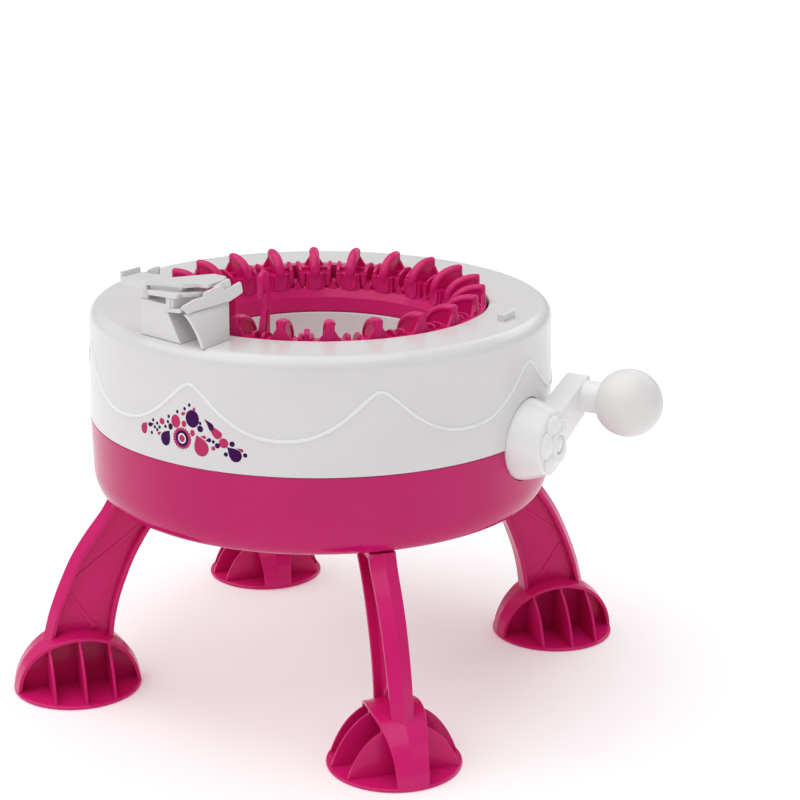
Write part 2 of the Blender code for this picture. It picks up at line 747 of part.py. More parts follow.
def band(outer, inner, half_width):
    """Solid strip between two (r, z) chains, standing along +X and half_width to either side."""
    outline = list(outer) + list(reversed(inner))
    return radial_plate(outline, 2.0 * half_width)


def offset_chain(chain, distance):
    """Chain moved sideways in its own plane; positive moves to the left of its direction."""
    moved_points = []
    for i, (x, y) in enumerate(chain):
        x0, y0 = chain[max(i - 1, 0)]
        x1, y1 = chain[min(i + 1, len(chain) - 1)]
        length = math.hypot(x1 - x0, y1 - y0)
        moved_points.append((x - (y1 - y0) / length * distance, y + (x1 - x0) / length * distance))
    return moved_points


def foot_steps():
    """Disc, arch band, keel and cross ribs of one foot."""
    disc = shifted(turned_solid([(FOOT_R, 0.0), (FOOT_R, FOOT_DISC_HEIGHT)], 32), FOOT_RING_R, 0, 0)
    low = 0.6
    out_r = FOOT_R - 0.2
    out_height = FOOT_TOP_Z - low
    arch_out = arc((FOOT_RING_R, low), out_r, out_height, 0, 180, 8)
    arch_in = arc((FOOT_RING_R, low), out_r - ARCH_THICK, out_height - ARCH_THICK, 0, 180, 8)
    keel = arc((FOOT_RING_R, low + 0.1), out_r - 1.0, out_height - 1.0, 0, 180, 8)
    pieces = [disc, band(arch_out, arch_in, ARCH_HALF_WIDTH), radial_plate(keel, KEEL_THICK)]
    for offset in RIB_OFFSETS:
        across = math.sqrt(1.0 - (offset / FOOT_R) ** 2)
        curve = arc((0.0, 0.8), FOOT_R * across - 0.8, (FOOT_TOP_Z - 2.0) * across, 0, 180, 6)
        middle = FOOT_RING_R + offset
        near = [(middle - RIB_THICK / 2, y, z) for y, z in curve]
        far = [(middle + RIB_THICK / 2, y, z) for y, z in curve]
        pieces.append(loft(near, far))
    return [("UNION", piece) for piece in pieces]


def leg_shape():
    """One leg standing along +X: I-section beam, domed foot and the tenon that enters the casing."""
    outer = list(reversed(LEG_OUTER))
    web = radial_plate(outer + list(LEG_INNER), LEG_WEB)
    outer_flange = band(outer, offset_chain(outer, LEG_FLANGE), LEG_HALF_WIDTH)
    inner_flange = band(offset_chain(LEG_INNER, LEG_FLANGE), LEG_INNER, LEG_HALF_WIDTH)
    head = box(LEG_HEAD_LOW, LEG_HEAD_HIGH)
    tenon = box((TENON_R - TENON_HALF_LENGTH, -TENON_HALF_WIDTH, LEG_HEAD_LOW[2] + 1.0),
                (TENON_R + TENON_HALF_LENGTH, TENON_HALF_WIDTH, FLOOR_Z + WALL - 0.4))
    bore = shifted(turned_solid([(LEG_SCREW_R + 0.1, FLOOR_Z - 13.3), (LEG_SCREW_R + 0.1, FLOOR_Z + 12.0)], 8),
                   TENON_R, 0, 0)
    steps = [("UNION", piece) for piece in (inner_flange, outer_flange, head, tenon)]
    return combined(web, steps + foot_steps() + [("DIFFERENCE", bore)])


def leg_screw_shape():
    """Screw with a wide head that clamps the leg's tenon from inside the casing."""
    seat = FLOOR_Z + WALL + GAP
    return turned_solid([
        (LEG_SCREW_R, seat - LEG_SCREW_DEPTH),
        (LEG_SCREW_R, seat),
        (LEG_SCREW_HEAD_R, seat),
        (LEG_SCREW_HEAD_R, seat + SCREW_HEAD_HEIGHT - GAP),
    ], 8)


def casing_screw_shape():
    """Screw driven up through the lower casing's post into the upper one."""
    seat = WELL_TOP_Z - GAP
    return turned_solid([
        (CASING_SCREW_HEAD_R, seat - SCREW_HEAD_HEIGHT),
        (CASING_SCREW_HEAD_R, seat),
        (CASING_SCREW_R, seat),
        (CASING_SCREW_R, CASING_SCREW_TOP_Z),
    ], 8)


def raised(outline, z):
    return [(x, y, z) for x, y in outline]


def guide_base_shape():
    """Block with a slanted end, back wall and leaning side panel."""
    block = loft(raised(BLOCK_LOW_OUTLINE, GUIDE_LOW_Z), raised(BLOCK_TOP_OUTLINE, BLOCK_TOP_Z))
    side = loft(raised(SIDE_LOW, GUIDE_LOW_Z), SIDE_TOP)
    return combined(block, [("UNION", box(BACK_LOW, BACK_HIGH)), ("UNION", side)])


def guide_bracket_shape():
    plate = prism(BRACKET_OUTLINE, BRACKET_LOW_Z, BRACKET_TOP_Z)
    posts = [box((*low, POST_FOOT_Z), (*high, BRACKET_LOW_Z + 0.7)) for low, high in (FRONT_POST, BACK_POST)]
    return combined(plate, [("UNION", post) for post in posts])


def guide_top_shape():
    """Flat top plate with a deeper wing and an upturned lip at its far end."""
    plate = prism(TOP_OUTLINE, TOP_PLATE_Z, TOP_HIGH_Z)
    wing = prism(WING_OUTLINE, TOP_LOW_Z, TOP_PLATE_Z + 0.8)
    lip = prism(END_LIP_OUTLINE, TOP_PLATE_Z + 0.4, END_LIP_TOP_Z)
    return combined(plate, [("UNION", wing), ("UNION", lip)])


def feeder_shape():
    """Stepped lip standing on the side panel, with the nose that carries the yarn to the hooks."""
    plate = radial_plate(FEEDER_OUTLINE, FEEDER_THICK)
    place = Matrix.Translation((*FEEDER_FOOT, 0.0)) @ Matrix.Rotation(math.radians(FEEDER_DEG), 4, "Z")
    return moved(plate, place)


def build():
    white = make_material("white_abs", (0.83, 0.82, 0.81), 0.28)
    pink = make_material("pink_abs", (0.58, 0.03, 0.16), 0.3)
    brass = make_material("brass_wire", (0.72, 0.52, 0.22), 0.3, 1.0)
    steel = make_material("zinc_steel", (0.62, 0.63, 0.65), 0.32, 1.0)

    add_node("upper_casing", upper_casing_shape(), white)
    add_node("lower_casing", lower_casing_shape(), pink)
    add_node("inner_sleeve", sleeve_shape(), white)
    add_node("cam_ring", cam_ring_shape(), white)
    add_node("bearing_bracket", bearing_shape(), white)

    leg = leg_shape()
    leg_screw = shifted(leg_screw_shape(), TENON_R, 0, 0)
    for name, angle in zip(LEG_NAMES, LEG_ANGLES):
        add_node("leg_" + name, turned(leg, angle), pink)
        add_node("leg_screw_" + name, turned(leg_screw, angle), steel)
    casing_screw = shifted(casing_screw_shape(), SCREW_RING_R, 0, 0)
    for i, angle in enumerate(SCREW_ANGLES):
        add_node("casing_screw_" + str(i + 1), turned(casing_screw, angle), steel)

    add_node("yarn_guide_base", guide_base_shape(), white)
    add_node("yarn_guide_bracket", guide_bracket_shape(), white)
    add_node("yarn_guide_top", guide_top_shape(), white)
    add_node("yarn_feeder", feeder_shape(), white)

    add_node("needle_cylinder", cylinder_shape(), pink)
    add_node("ring_gear", ring_gear_shape(), white)
    wire = arc((WIRE_R, WIRE_Z), WIRE_THICK_R, WIRE_THICK_R, 0, 288, 4)
    add_node("retaining_wire", revolved(wire, CASING_SEGMENTS), brass)
    for k in range(NEEDLES):
        angle = NEEDLE_PHASE_DEG + PITCH_DEG * k
        top = lift(angle)
        needle = turned(radial_plate(needle_outline(top), NEEDLE_THICK), angle)
        radians = math.radians(angle)
        origin = (NEEDLE_MID_R * math.cos(radians), NEEDLE_MID_R * math.sin(radians), top - NEEDLE_LENGTH)
        add_node("needle_{:02d}".format(k + 1), needle, pink, origin)

    crank_origin = (HUB_FACE_X, 0.0, CRANK_Z)
    add_node("crank_arm", crank_shape(), white, crank_origin)
    add_node("flower_cap", flower_shape(), white, crank_origin)
    shaft = at_crank(turned_solid([(SHAFT_R, SHAFT_SPAN[0]), (SHAFT_R, SHAFT_SPAN[1])], 16))
    add_node("crank_shaft", shaft, steel, crank_origin)
    add_node("drive_pinion", pinion_shape(), white, crank_origin)
    across, up = knob_offset()
    knob_origin = (KNOB_X, across, CRANK_Z + up)
    add_node("knob_pin", knob_pin_shape(), steel, knob_origin)
    add_node("knob", knob_shape(), white, knob_origin)


clear_scene()
build()
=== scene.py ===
import json
import math

import bmesh
import bpy
from mathutils import Matrix, Vector


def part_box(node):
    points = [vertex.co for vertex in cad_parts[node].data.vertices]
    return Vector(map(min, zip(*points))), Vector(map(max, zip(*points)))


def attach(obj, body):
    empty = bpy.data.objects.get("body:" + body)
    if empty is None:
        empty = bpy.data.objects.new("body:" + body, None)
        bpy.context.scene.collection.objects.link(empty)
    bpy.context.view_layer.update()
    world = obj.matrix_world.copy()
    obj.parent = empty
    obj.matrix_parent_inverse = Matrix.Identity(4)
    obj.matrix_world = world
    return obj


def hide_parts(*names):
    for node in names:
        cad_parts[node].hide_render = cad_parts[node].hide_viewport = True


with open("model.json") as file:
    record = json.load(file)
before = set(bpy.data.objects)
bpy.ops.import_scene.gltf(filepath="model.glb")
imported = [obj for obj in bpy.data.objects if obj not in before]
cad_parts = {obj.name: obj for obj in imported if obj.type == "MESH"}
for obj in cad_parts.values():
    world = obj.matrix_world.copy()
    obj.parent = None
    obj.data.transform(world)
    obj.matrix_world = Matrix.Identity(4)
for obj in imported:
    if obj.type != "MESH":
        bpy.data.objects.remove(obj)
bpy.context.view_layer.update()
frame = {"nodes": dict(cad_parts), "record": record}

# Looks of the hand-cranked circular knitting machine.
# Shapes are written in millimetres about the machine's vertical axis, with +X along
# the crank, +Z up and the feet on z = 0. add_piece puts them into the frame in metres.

MM = 0.001


# ---------------------------------------------------------------- frame measures

def axis_x():
    low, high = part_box("inner_sleeve")
    return (low.x + high.x) / 2.0


AXIS_X = axis_x()


def span(node):
    """Low and high corners of a CAD node in millimetres about the machine axis."""
    shift = Vector((AXIS_X, 0.0, 0.0))
    low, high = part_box(node)
    return (low - shift) / MM, (high - shift) / MM


def middle(node):
    low, high = span(node)
    return (low + high) / 2.0


NEEDLES = 22
PITCH_DEG = 360.0 / NEEDLES
FIRST_NEEDLE = middle("needle_01")
NEEDLE_PHASE_DEG = math.degrees(math.atan2(FIRST_NEEDLE.y, FIRST_NEEDLE.x))
FLOOR_Z = span("lower_casing")[0].z
SEAM_Z = (span("lower_casing")[1].z + span("upper_casing")[0].z) / 2.0
SEAM_R = span("lower_casing")[1].y
SLEEVE_FOOT_R = span("inner_sleeve")[1].y
SLEEVE_TOP_Z = span("inner_sleeve")[1].z
SLEEVE_FOOT_Z = span("inner_sleeve")[0].z
FIN_TOP_Z = span("needle_cylinder")[1].z
CYLINDER_BOTTOM_Z = span("needle_cylinder")[0].z
CRANK_Z = middle("crank_shaft").z
HUB_BACK_X = span("crank_arm")[0].x
KNOB_R = (span("knob")[1].z - span("knob")[0].z) / 2.0
KNOB_Y = middle("knob").y
KNOB_UP = middle("knob").z - CRANK_Z
KNOB_FACE_X = span("knob")[0].x
LEG_TURN_DEG = 1.5
LEG_NAMES = ("right_back", "left_back", "left_front", "right_front")
LEG_ANGLES = {name: 45.0 + 90.0 * quarter + LEG_TURN_DEG for quarter, name in enumerate(LEG_NAMES)}

# Casing
HEAD_GAP = 0.3
SEAM_LINE = 0.1
SLEEVE_IN_R = 59.4
SCREW_RING_R = 101.0
SCREW_ANGLES = (22.5, 112.5, 202.5, 292.5)
CASING_R = 110.05
CASING_TOP_Z = 185.1
OPENING_R = 80.1
WALL = 2.5
RIM_DEPTH = 4.1
CASING_STEPS = 240
BOWL_R = 102.4
BOWL_REACH = 8.0
BOWL_RISE = 14.0

# Screw posts
SCREW_BORE_R = 3.3
SCREW_POST_R = 5.0
SCREW_POST_TOP_Z = 130.5

# Wave line on the wall
WAVES = 8
WAVE_LOW_Z = 147.9
WAVE_RISE = 28.5
WAVE_ROUNDING = 7.0
WAVE_SHARPNESS = 2.25

# Crank
HUB_R = 19.2
HUB_FACE_X = 124.0
ARM_BACK_X = 112.5
ARM_DEG = math.degrees(math.atan2(KNOB_UP, KNOB_Y))
NECK_R = 7.5
NECK_END_X = 133.0
PETALS = 5
PETAL_TURN_DEG = 102.0
KNOB_FLAT_R = 10.2
KNOB_SEAT_R = 9.3

# Leg
FLANGE_HALF = 6.4
INNER_FLANGE_HALF = 6.0
WEB_HALF = 1.5
LEG_TAPER = 0.2
MARK_WIDTH = 2.2
MARK_Y = (1.2, 1.9)

# Foot
FOOT_RING_R = 123.3
FOOT_R = 30.65
FOOT_TOP_Z = 29.0
RIB_PLACES = (-14.2, 0.0, 14.2)
RIB_THICK = 1.4
RIB_FOOT_Z = 1.2
ARCH_BASE_Z = 0.5
ARCH_HALF = 7.4
ARCH_FLARE = 4.8

# Crown
FIN_THICK = 5.1
FIN_OUT_R = 78.4
FIN_IN_R = 61.2
FIN_LOW_Z = 182.2
WINDOW_Z = 175.0
WINDOW_BACK_R = 66.5
LEDGE_R = 60.6
SLOT_WIDTH = 2.7
COLUMN_HALF = 3.25

# Needles
NEEDLE_THICK = 2.3
NEEDLE_LENGTH = 74.0
BUTT_TO_TOP = 68.5
BUTT_END_R = 76.2
GROOVE_DEPTH = 0.4

# Yarn guide: heights of its plates and the y of its back
BLOCK_TOP_Z = 201.8
GUIDE_BACK_Y = -87.0
BRACKET_Z = (205.0, 207.2)
TOP_PLATE_Z = (209.0, 211.0)

# Printed motif: its middle on the wall and the wall's length per degree
DECAL_DEG = -89.2
DECAL_MM_PER_DEG = 1.92
ROSETTE_SIDE = -5.6
ROSETTE_Z = 144.2
SMALL_DOT = (1.4, 1.6)
INK_SUNK = 0.1
INK_PROUD = 0.07

# Camera: place in millimetres about the machine's axis, viewing and level directions, roll and lens
CAMERA_PLACE = (499.05, -811.67, 416.75)
CAMERA_FORWARD = (-0.4692, 0.8361, -0.2843)
CAMERA_RIGHT = (0.8721, 0.4894, 0.0)
CAMERA_ROLL = 0.00692
CAMERA_LENS = 92.04

# Axis swaps for a shape built about Z: laid into the radial plane, set with its axis along the
# radius, and set with its axis across the radial plane
INTO_RADIAL_PLANE = Matrix(((1, 0, 0, 0), (0, 0, -1, 0), (0, 1, 0, 0), (0, 0, 0, 1)))
ALONG_RADIUS = Matrix(((0, 0, 1, 0), (1, 0, 0, 0), (0, 1, 0, 0), (0, 0, 0, 1)))
ALONG_WEB_NORMAL = Matrix(((1, 0, 0, 0), (0, 0, 1, 0), (0, 1, 0, 0), (0, 0, 0, 1)))


# ---------------------------------------------------------------- shape tools

def shape(verts, faces):
    return [Vector(v) for v in verts], [tuple(f) for f in faces]


def moved(piece, matrix):
    return [matrix @ v for v in piece[0]], piece[1]


def turned(piece, degrees, axis="Z"):
    return moved(piece, Matrix.Rotation(math.radians(degrees), 4, axis))


def shifted(piece, x, y, z):
    return moved(piece, Matrix.Translation((x, y, z)))


def mirrored_y(piece):
    verts, faces = piece
    return [Vector((v.x, -v.y, v.z)) for v in verts], [tuple(reversed(f)) for f in faces]


def joined(pieces):
    verts = []
    faces = []
    for piece in pieces:
        start = len(verts)
        verts.extend(piece[0])
        faces.extend(tuple(i + start for i in face) for face in piece[1])
    return verts, faces


def rings(loops, closed_path, closed_loop=True):
    """Skin through loops of points with equal counts; open paths are capped at both ends."""
    count = len(loops[0])
    verts = [point for loop in loops for point in loop]
    faces = []
    last = len(loops) if closed_path else len(loops) - 1
    around = count if closed_loop else count - 1
    for step in range(last):
        here = step * count
        there = ((step + 1) % len(loops)) * count
        for i in range(around):
            j = (i + 1) % count
            faces.append((here + i, there + i, there + j, here + j))
    if not closed_path:
        faces.append(tuple(reversed(range(count))))
        faces.append(tuple((len(loops) - 1) * count + i for i in range(count)))
    return shape(verts, faces)


def lathe(profile, steps=CASING_STEPS, start=0.0):
    """Ring about Z from a closed (r, z) profile that keeps clear of the axis."""
    loops = []
    for step in range(steps):
        angle = math.radians(start) + 2.0 * math.pi * step / steps
        loops.append([(r * math.cos(angle), r * math.sin(angle), z) for r, z in profile])
    return rings(loops, True)


def spindle(profile, steps=64):
    """Solid of revolution about Z from an open (r, z) profile, capped flat at both ends."""
    turns = [2.0 * math.pi * i / steps for i in range(steps)]
    return rings([[(r * math.cos(t), r * math.sin(t), z) for t in turns] for r, z in profile], False)


def prism(outline, low, high):
    return rings([[(x, y, low) for x, y in outline], [(x, y, high) for x, y in outline]], False)


def loft(lower, upper):
    return rings([list(lower), list(upper)], False)


def box(low, high):
    outline = [(low[0], low[1]), (high[0], low[1]), (high[0], high[1]), (low[0], high[1])]
    return prism(outline, low[2], high[2])


def radial_plate(outline, low_y, high_y):
    """Plate in the radial plane from an (r, z) outline, between two y values."""
    return moved(prism(outline, -high_y, -low_y), INTO_RADIAL_PLANE)


def facing_plate(outline, near, far):
    """Plate square to the radius from a (y, z) outline, between two radii along +X."""
    return moved(prism(outline, near, far), ALONG_RADIUS)


def along_crank(piece):
    """Shape built about Z, with z as the distance from the machine axis, laid on the crank axis."""
    return shifted(moved(piece, ALONG_RADIUS), 0.0, 0.0, CRANK_Z)


def arc(centre, radius_x, radius_y, start, end, count):
    points = []
    for i in range(count + 1):
        angle = math.radians(start + (end - start) * i / count)
        points.append((centre[0] + radius_x * math.cos(angle), centre[1] + radius_y * math.sin(angle)))
    return points


def spline(points, steps):
    """Catmull-Rom curve through 2D points, with steps spans between neighbours."""
    padded = [points[0]] + list(points) + [points[-1]]
    curve = []
    for i in range(len(points) - 1):
        p0, p1, p2, p3 = (Vector(p) for p in padded[i:i + 4])
        for step in range(steps):
            t = step / steps
            curve.append(tuple(0.5 * (
                2.0 * p1 + (p2 - p0) * t
                + (2.0 * p0 - 5.0 * p1 + 4.0 * p2 - p3) * t * t
                + (3.0 * p1 - p0 - 3.0 * p2 + p3) * t ** 3
            )))
    curve.append(tuple(points[-1]))
    return curve


def filleted(corners, spacing=15.0):
    """Closed outline from (x, y, radius) corners, each rounded with its own radius."""
    points = []
    count = len(corners)
    for i, (x, y, radius) in enumerate(corners):
        here = Vector((x, y))
        if radius <= 0.0:
            points.append((x, y))
            continue
        back = Vector(corners[i - 1][:2]) - here
        ahead = Vector(corners[(i + 1) % count][:2]) - here
        half = back.angle(ahead) / 2.0
        reach = min(radius / math.tan(half), 0.49 * back.length, 0.49 * ahead.length)
        radius = reach * math.tan(half)
        centre = here + (back.normalized() + ahead.normalized()).normalized() * (radius / math.sin(half))
        first = here + back.normalized() * reach - centre
        last = here + ahead.normalized() * reach - centre
        begin = math.atan2(first.y, first.x)
        sweep = (math.atan2(last.y, last.x) - begin + math.pi) % (2.0 * math.pi) - math.pi
        steps = max(2, math.ceil(abs(math.degrees(sweep)) / spacing))
        for step in range(steps + 1):
            angle = begin + sweep * step / steps
            points.append((centre.x + radius * math.cos(angle), centre.y + radius * math.sin(angle)))
    return points


def chain_normals(chain, closed=False):
    """Unit normals to the left of a chain's direction."""
    normals = []
    count = len(chain)
    for i in range(count):
        if closed:
            before, after = chain[i - 1], chain[(i + 1) % count]
        else:
            before, after = chain[max(i - 1, 0)], chain[min(i + 1, count - 1)]
        along = (Vector(after) - Vector(before)).normalized()
        normals.append(Vector((-along.y, along.x)))
    return normals


def offset_chain(chain, distance, closed=False):
    normals = chain_normals(chain, closed)
    return [tuple(Vector(p) + n * distance) for p, n in zip(chain, normals)]


def strip(chain, section, closed=False, widths=None):
    """Section of (y, n) points carried along an (r, z) chain; n runs to the chain's left."""
    loops = []
    for i, (point, normal) in enumerate(zip(chain, chain_normals(chain, closed))):
        width = widths[i] if widths else 1.0
        loops.append([(point[0] + normal.x * n, y * width, point[1] + normal.y * n) for y, n in section])
    return rings(loops, closed)


def rounded_section(half_width, low, high, radius, spacing=30.0):
    return filleted([
        (-half_width, low, radius),
        (half_width, low, radius),
        (half_width, high, radius),
        (-half_width, high, radius),
    ], spacing)


def to_mesh(name, piece):
    mesh = bpy.data.meshes.new(name)
    mesh.from_pydata([tuple(v) for v in piece[0]], [], piece[1])
    mesh.validate()
    return mesh


def rounded(piece, width, segments=2, angle=30.0):
    """Round every edge whose faces meet at more than the angle."""
    mesh = to_mesh("work", piece)
    edit = bmesh.new()
    edit.from_mesh(mesh)
    bmesh.ops.recalc_face_normals(edit, faces=edit.faces)
    limit = math.radians(angle)
    edges = [e for e in edit.edges if len(e.link_faces) == 2 and e.calc_face_angle() > limit]
    bmesh.ops.bevel(
        edit, geom=edges, offset=width, offset_type="OFFSET", segments=segments,
        profile=0.5, affect="EDGES", clamp_overlap=True,
    )
    bmesh.ops.remove_doubles(edit, verts=edit.verts, dist=0.0005)
    edit.verts.index_update()
    verts = [v.co.copy() for v in edit.verts]
    faces = [tuple(v.index for v in f.verts) for f in edit.faces]
    edit.free()
    bpy.data.meshes.remove(mesh)
    return verts, faces


def closed_out(mesh):
    edit = bmesh.new()
    edit.from_mesh(mesh)
    bmesh.ops.recalc_face_normals(edit, faces=edit.faces)
    edit.to_mesh(mesh)
    edit.free()


def combined(base, steps):
    """Apply (operation, piece) boolean steps and return the resulting shape."""
    body = bpy.data.objects.new("work", to_mesh("work", base))
    bpy.context.scene.collection.objects.link(body)
    closed_out(body.data)
    for operation, piece in steps:
        tool = bpy.data.objects.new("tool", to_mesh("tool", piece))
        closed_out(tool.data)
        bpy.context.scene.collection.objects.link(tool)
        modifier = body.modifiers.new("cut", "BOOLEAN")
        modifier.operation = operation
        modifier.solver = "EXACT"
        modifier.object = tool
        graph = bpy.context.evaluated_depsgraph_get()
        result = bpy.data.meshes.new_from_object(body.evaluated_get(graph))
        body.modifiers.remove(modifier)
        body.data = result
        bpy.data.objects.remove(tool, do_unlink=True)
    verts = [v.co.copy() for v in body.data.vertices]
    faces = [tuple(p.vertices) for p in body.data.polygons]
    bpy.data.objects.remove(body, do_unlink=True)
    return verts, faces


def add_piece(name, piece, material, body, nodes=(), smooth_deg=32.0):
    """Make one visible piece in the frame, riding on a body and standing for its CAD nodes."""
    verts = [(v + Vector((AXIS_X / MM, 0.0, 0.0))) * MM for v in piece[0]]
    mesh = to_mesh(name, (verts, piece[1]))
    closed_out(mesh)
    mesh.shade_smooth()
    mesh.set_sharp_from_angle(angle=math.radians(smooth_deg))
    mesh.materials.append(material)
    obj = bpy.data.objects.new(name, mesh)
    bpy.context.scene.collection.objects.link(obj)
    weighted = obj.modifiers.new("weighted_normal", "WEIGHTED_NORMAL")
    weighted.keep_sharp = True
    weighted.weight = 60
    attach(obj, body)
    if nodes:
        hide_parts(*nodes)
    return obj


# ---------------------------------------------------------------- materials

def link(tree, source, output, target, socket):
    tree.links.new(source.outputs[output], target.inputs[socket])


def new_surface(name):
    """Material with its node tree, its shader and the object's own coordinates."""
    material = bpy.data.materials.new(name)
    material.use_nodes = True
    tree = material.node_tree
    return material, tree, tree.nodes["Principled BSDF"], tree.nodes.new("ShaderNodeTexCoord")


def noise(tree, source, output, scale, detail):
    pattern = tree.nodes.new("ShaderNodeTexNoise")
    pattern.inputs["Scale"].default_value = scale
    pattern.inputs["Detail"].default_value = detail
    link(tree, source, output, pattern, "Vector")
    return pattern


def drifting_colour(tree, shader, pattern, dark, light, dark_end, light_end):
    """Colour that wanders between two shades with the pattern."""
    tint = tree.nodes.new("ShaderNodeValToRGB")
    tint.color_ramp.elements[0].position = dark_end
    tint.color_ramp.elements[0].color = (*dark, 1.0)
    tint.color_ramp.elements[1].position = light_end
    tint.color_ramp.elements[1].color = (*light, 1.0)
    link(tree, pattern, "Fac", tint, "Fac")
    link(tree, tint, "Color", shader, "Base Color")


def uneven_gloss(tree, shader, pattern, smooth, rough):
    gloss = tree.nodes.new("ShaderNodeMapRange")
    gloss.inputs["To Min"].default_value = smooth
    gloss.inputs["To Max"].default_value = rough
    link(tree, pattern, "Fac", gloss, "Value")
    link(tree, gloss, "Result", shader, "Roughness")


def fine_relief(tree, shader, pattern, strength, distance):
    relief = tree.nodes.new("ShaderNodeBump")
    relief.inputs["Strength"].default_value = strength
    relief.inputs["Distance"].default_value = distance
    link(tree, pattern, "Fac", relief, "Height")
    link(tree, relief, "Normal", shader, "Normal")


def moulded_plastic(name, light, dark, roughness, coat, sheen):
    """Glossy ABS: slow colour drift, uneven gloss and the faint waviness of a polished mould."""
    material, tree, shader, place = new_surface(name)
    shader.inputs["IOR"].default_value = 1.5
    shader.inputs["Specular IOR Level"].default_value = sheen
    shader.inputs["Coat Weight"].default_value = coat
    shader.inputs["Coat Roughness"].default_value = 0.07
    drifting_colour(tree, shader, noise(tree, place, "Object", 26.0, 3.0), dark, light, 0.34, 0.66)
    uneven_gloss(tree, shader, noise(tree, place, "Object", 40.0, 3.0), roughness - 0.05, roughness + 0.07)
    fine_relief(tree, shader, noise(tree, place, "Object", 55.0, 1.0), 0.12, 0.0002)
    return material


def drawn_metal(name, light, dark, roughness, scale):
    """Bare or plated metal with fine scratches and patchy gloss."""
    material, tree, shader, place = new_surface(name)
    shader.inputs["Metallic"].default_value = 1.0
    stretch = tree.nodes.new("ShaderNodeMapping")
    stretch.inputs["Scale"].default_value = (0.15, 1.0, 1.0)
    link(tree, place, "Object", stretch, "Vector")
    streaks = noise(tree, stretch, "Vector", scale, 8.0)
    drifting_colour(tree, shader, streaks, dark, light, 0.3, 0.7)
    uneven_gloss(tree, shader, streaks, roughness - 0.08, roughness + 0.12)
    fine_relief(tree, shader, streaks, 0.15, 0.0001)
    return material


def printed_ink(name, light, dark):
    """Pad-printed ink: a little uneven in density and less glossy than the plastic."""
    return moulded_plastic(name, light, dark, 0.4, 0.0, 0.08)


def floor_surface():
    material, tree, shader, place = new_surface("studio_floor")
    shader.inputs["Roughness"].default_value = 0.6
    drift = noise(tree, place, "Object", 3.0, 2.0)
    drifting_colour(tree, shader, drift, (0.90, 0.90, 0.90), (0.93, 0.93, 0.93), 0.0, 1.0)
    shader.inputs["Emission Color"].default_value = (1.0, 1.0, 1.0, 1.0)
    shader.inputs["Emission Strength"].default_value = 0.18
    return material


WHITE = moulded_plastic("white_abs_look", (0.765, 0.75, 0.75), (0.74, 0.725, 0.725), 0.24, 0.25, 0.35)
KNOB_WHITE = moulded_plastic("white_abs_knob", (0.80, 0.78, 0.775), (0.775, 0.755, 0.75), 0.34, 0.12, 0.3)
# Lighter copy of the white plastic: painted light. It is a painted highlight on the wave bead and painted
# light from the right on the crank and flower. The printed eye uses it as white ink.
PAINTED_LIGHT_WHITE_AND_INK = moulded_plastic("white_abs_painted_light_and_ink", (0.90, 0.89, 0.89), (0.87, 0.86, 0.86), 0.30, 0.2, 0.4)
PINK = moulded_plastic("pink_abs_look", (0.56, 0.006, 0.135), (0.53, 0.004, 0.122), 0.22, 0.22, 0.18)
# Lighter, more saturated copy of the pink plastic: painted light standing for the light that the legs, crown
# and needles catch.
PAINTED_LIGHT_PINK = moulded_plastic("pink_abs_painted_light", (0.67, 0.012, 0.165), (0.63, 0.009, 0.150), 0.24, 0.12, 0.17)
STEEL = drawn_metal("zinc_steel_look", (0.66, 0.67, 0.69), (0.52, 0.53, 0.56), 0.30, 900.0)
BRASS = drawn_metal("brass_wire_look", (0.86, 0.62, 0.26), (0.70, 0.47, 0.17), 0.26, 900.0)
INK_PINK = printed_ink("ink_pink", (0.54, 0.040, 0.145), (0.50, 0.034, 0.130))
INK_PURPLE = printed_ink("ink_purple", (0.052, 0.003, 0.085), (0.044, 0.002, 0.072))


# ---------------------------------------------------------------- casings

def wall_radius(z):
    """Outer radius of the white wall, which narrows slightly towards the top."""
    return SEAM_R - (SEAM_R - CASING_R) * (z - SEAM_Z) / (CASING_TOP_Z - SEAM_Z)


def hub_cutter():
    return along_crank(spindle([(HUB_R + 0.5, 96.0), (HUB_R + 0.5, 120.0)], 96))


def upper_casing():
    """Wall and rim with its turned-down lip, the opening for the hub and the small tab on the rim."""
    foot = SEAM_Z + SEAM_LINE / 2.0
    inner = SEAM_R - WALL
    shell = lathe(filleted([
        (SEAM_R, foot, 0.4),
        (CASING_R, CASING_TOP_Z, 6.0),
        (OPENING_R, CASING_TOP_Z, 1.3),
        (OPENING_R, CASING_TOP_Z - RIM_DEPTH, 0.6),
        (OPENING_R + 2.1, CASING_TOP_Z - RIM_DEPTH, 0.6),
        (OPENING_R + 2.1, CASING_TOP_Z - WALL, 0.4),
        (CASING_R - WALL, CASING_TOP_Z - WALL, 4.0),
        (inner, foot + 5.0, 0.0),
        (inner - 1.9, foot + 4.4, 0.3),
        (inner - 1.9, foot - 3.2, 0.4),
        (inner - 0.3, foot - 3.2, 0.4),
        (inner - 0.3, foot, 0.0),
    ], 11.0))
    shell = combined(shell, [("DIFFERENCE", hub_cutter())])
    tab = rounded(box((92.2, 3.5, CASING_TOP_Z - 1.5), (96.2, 15.0, CASING_TOP_Z + 3.5)), 0.7, 3)
    return joined([shell, tab])


def wave_height(degrees):
    """Height of the moulded wave line: rounded peaks, evenly spaced around the wall."""
    half_pitch = 180.0 / WAVES
    away = abs((degrees + half_pitch) % (2.0 * half_pitch) - half_pitch)
    fall = max(0.0, 1.0 - math.sqrt(away * away + WAVE_ROUNDING) / half_pitch)
    return WAVE_LOW_Z + WAVE_RISE * fall ** WAVE_SHARPNESS


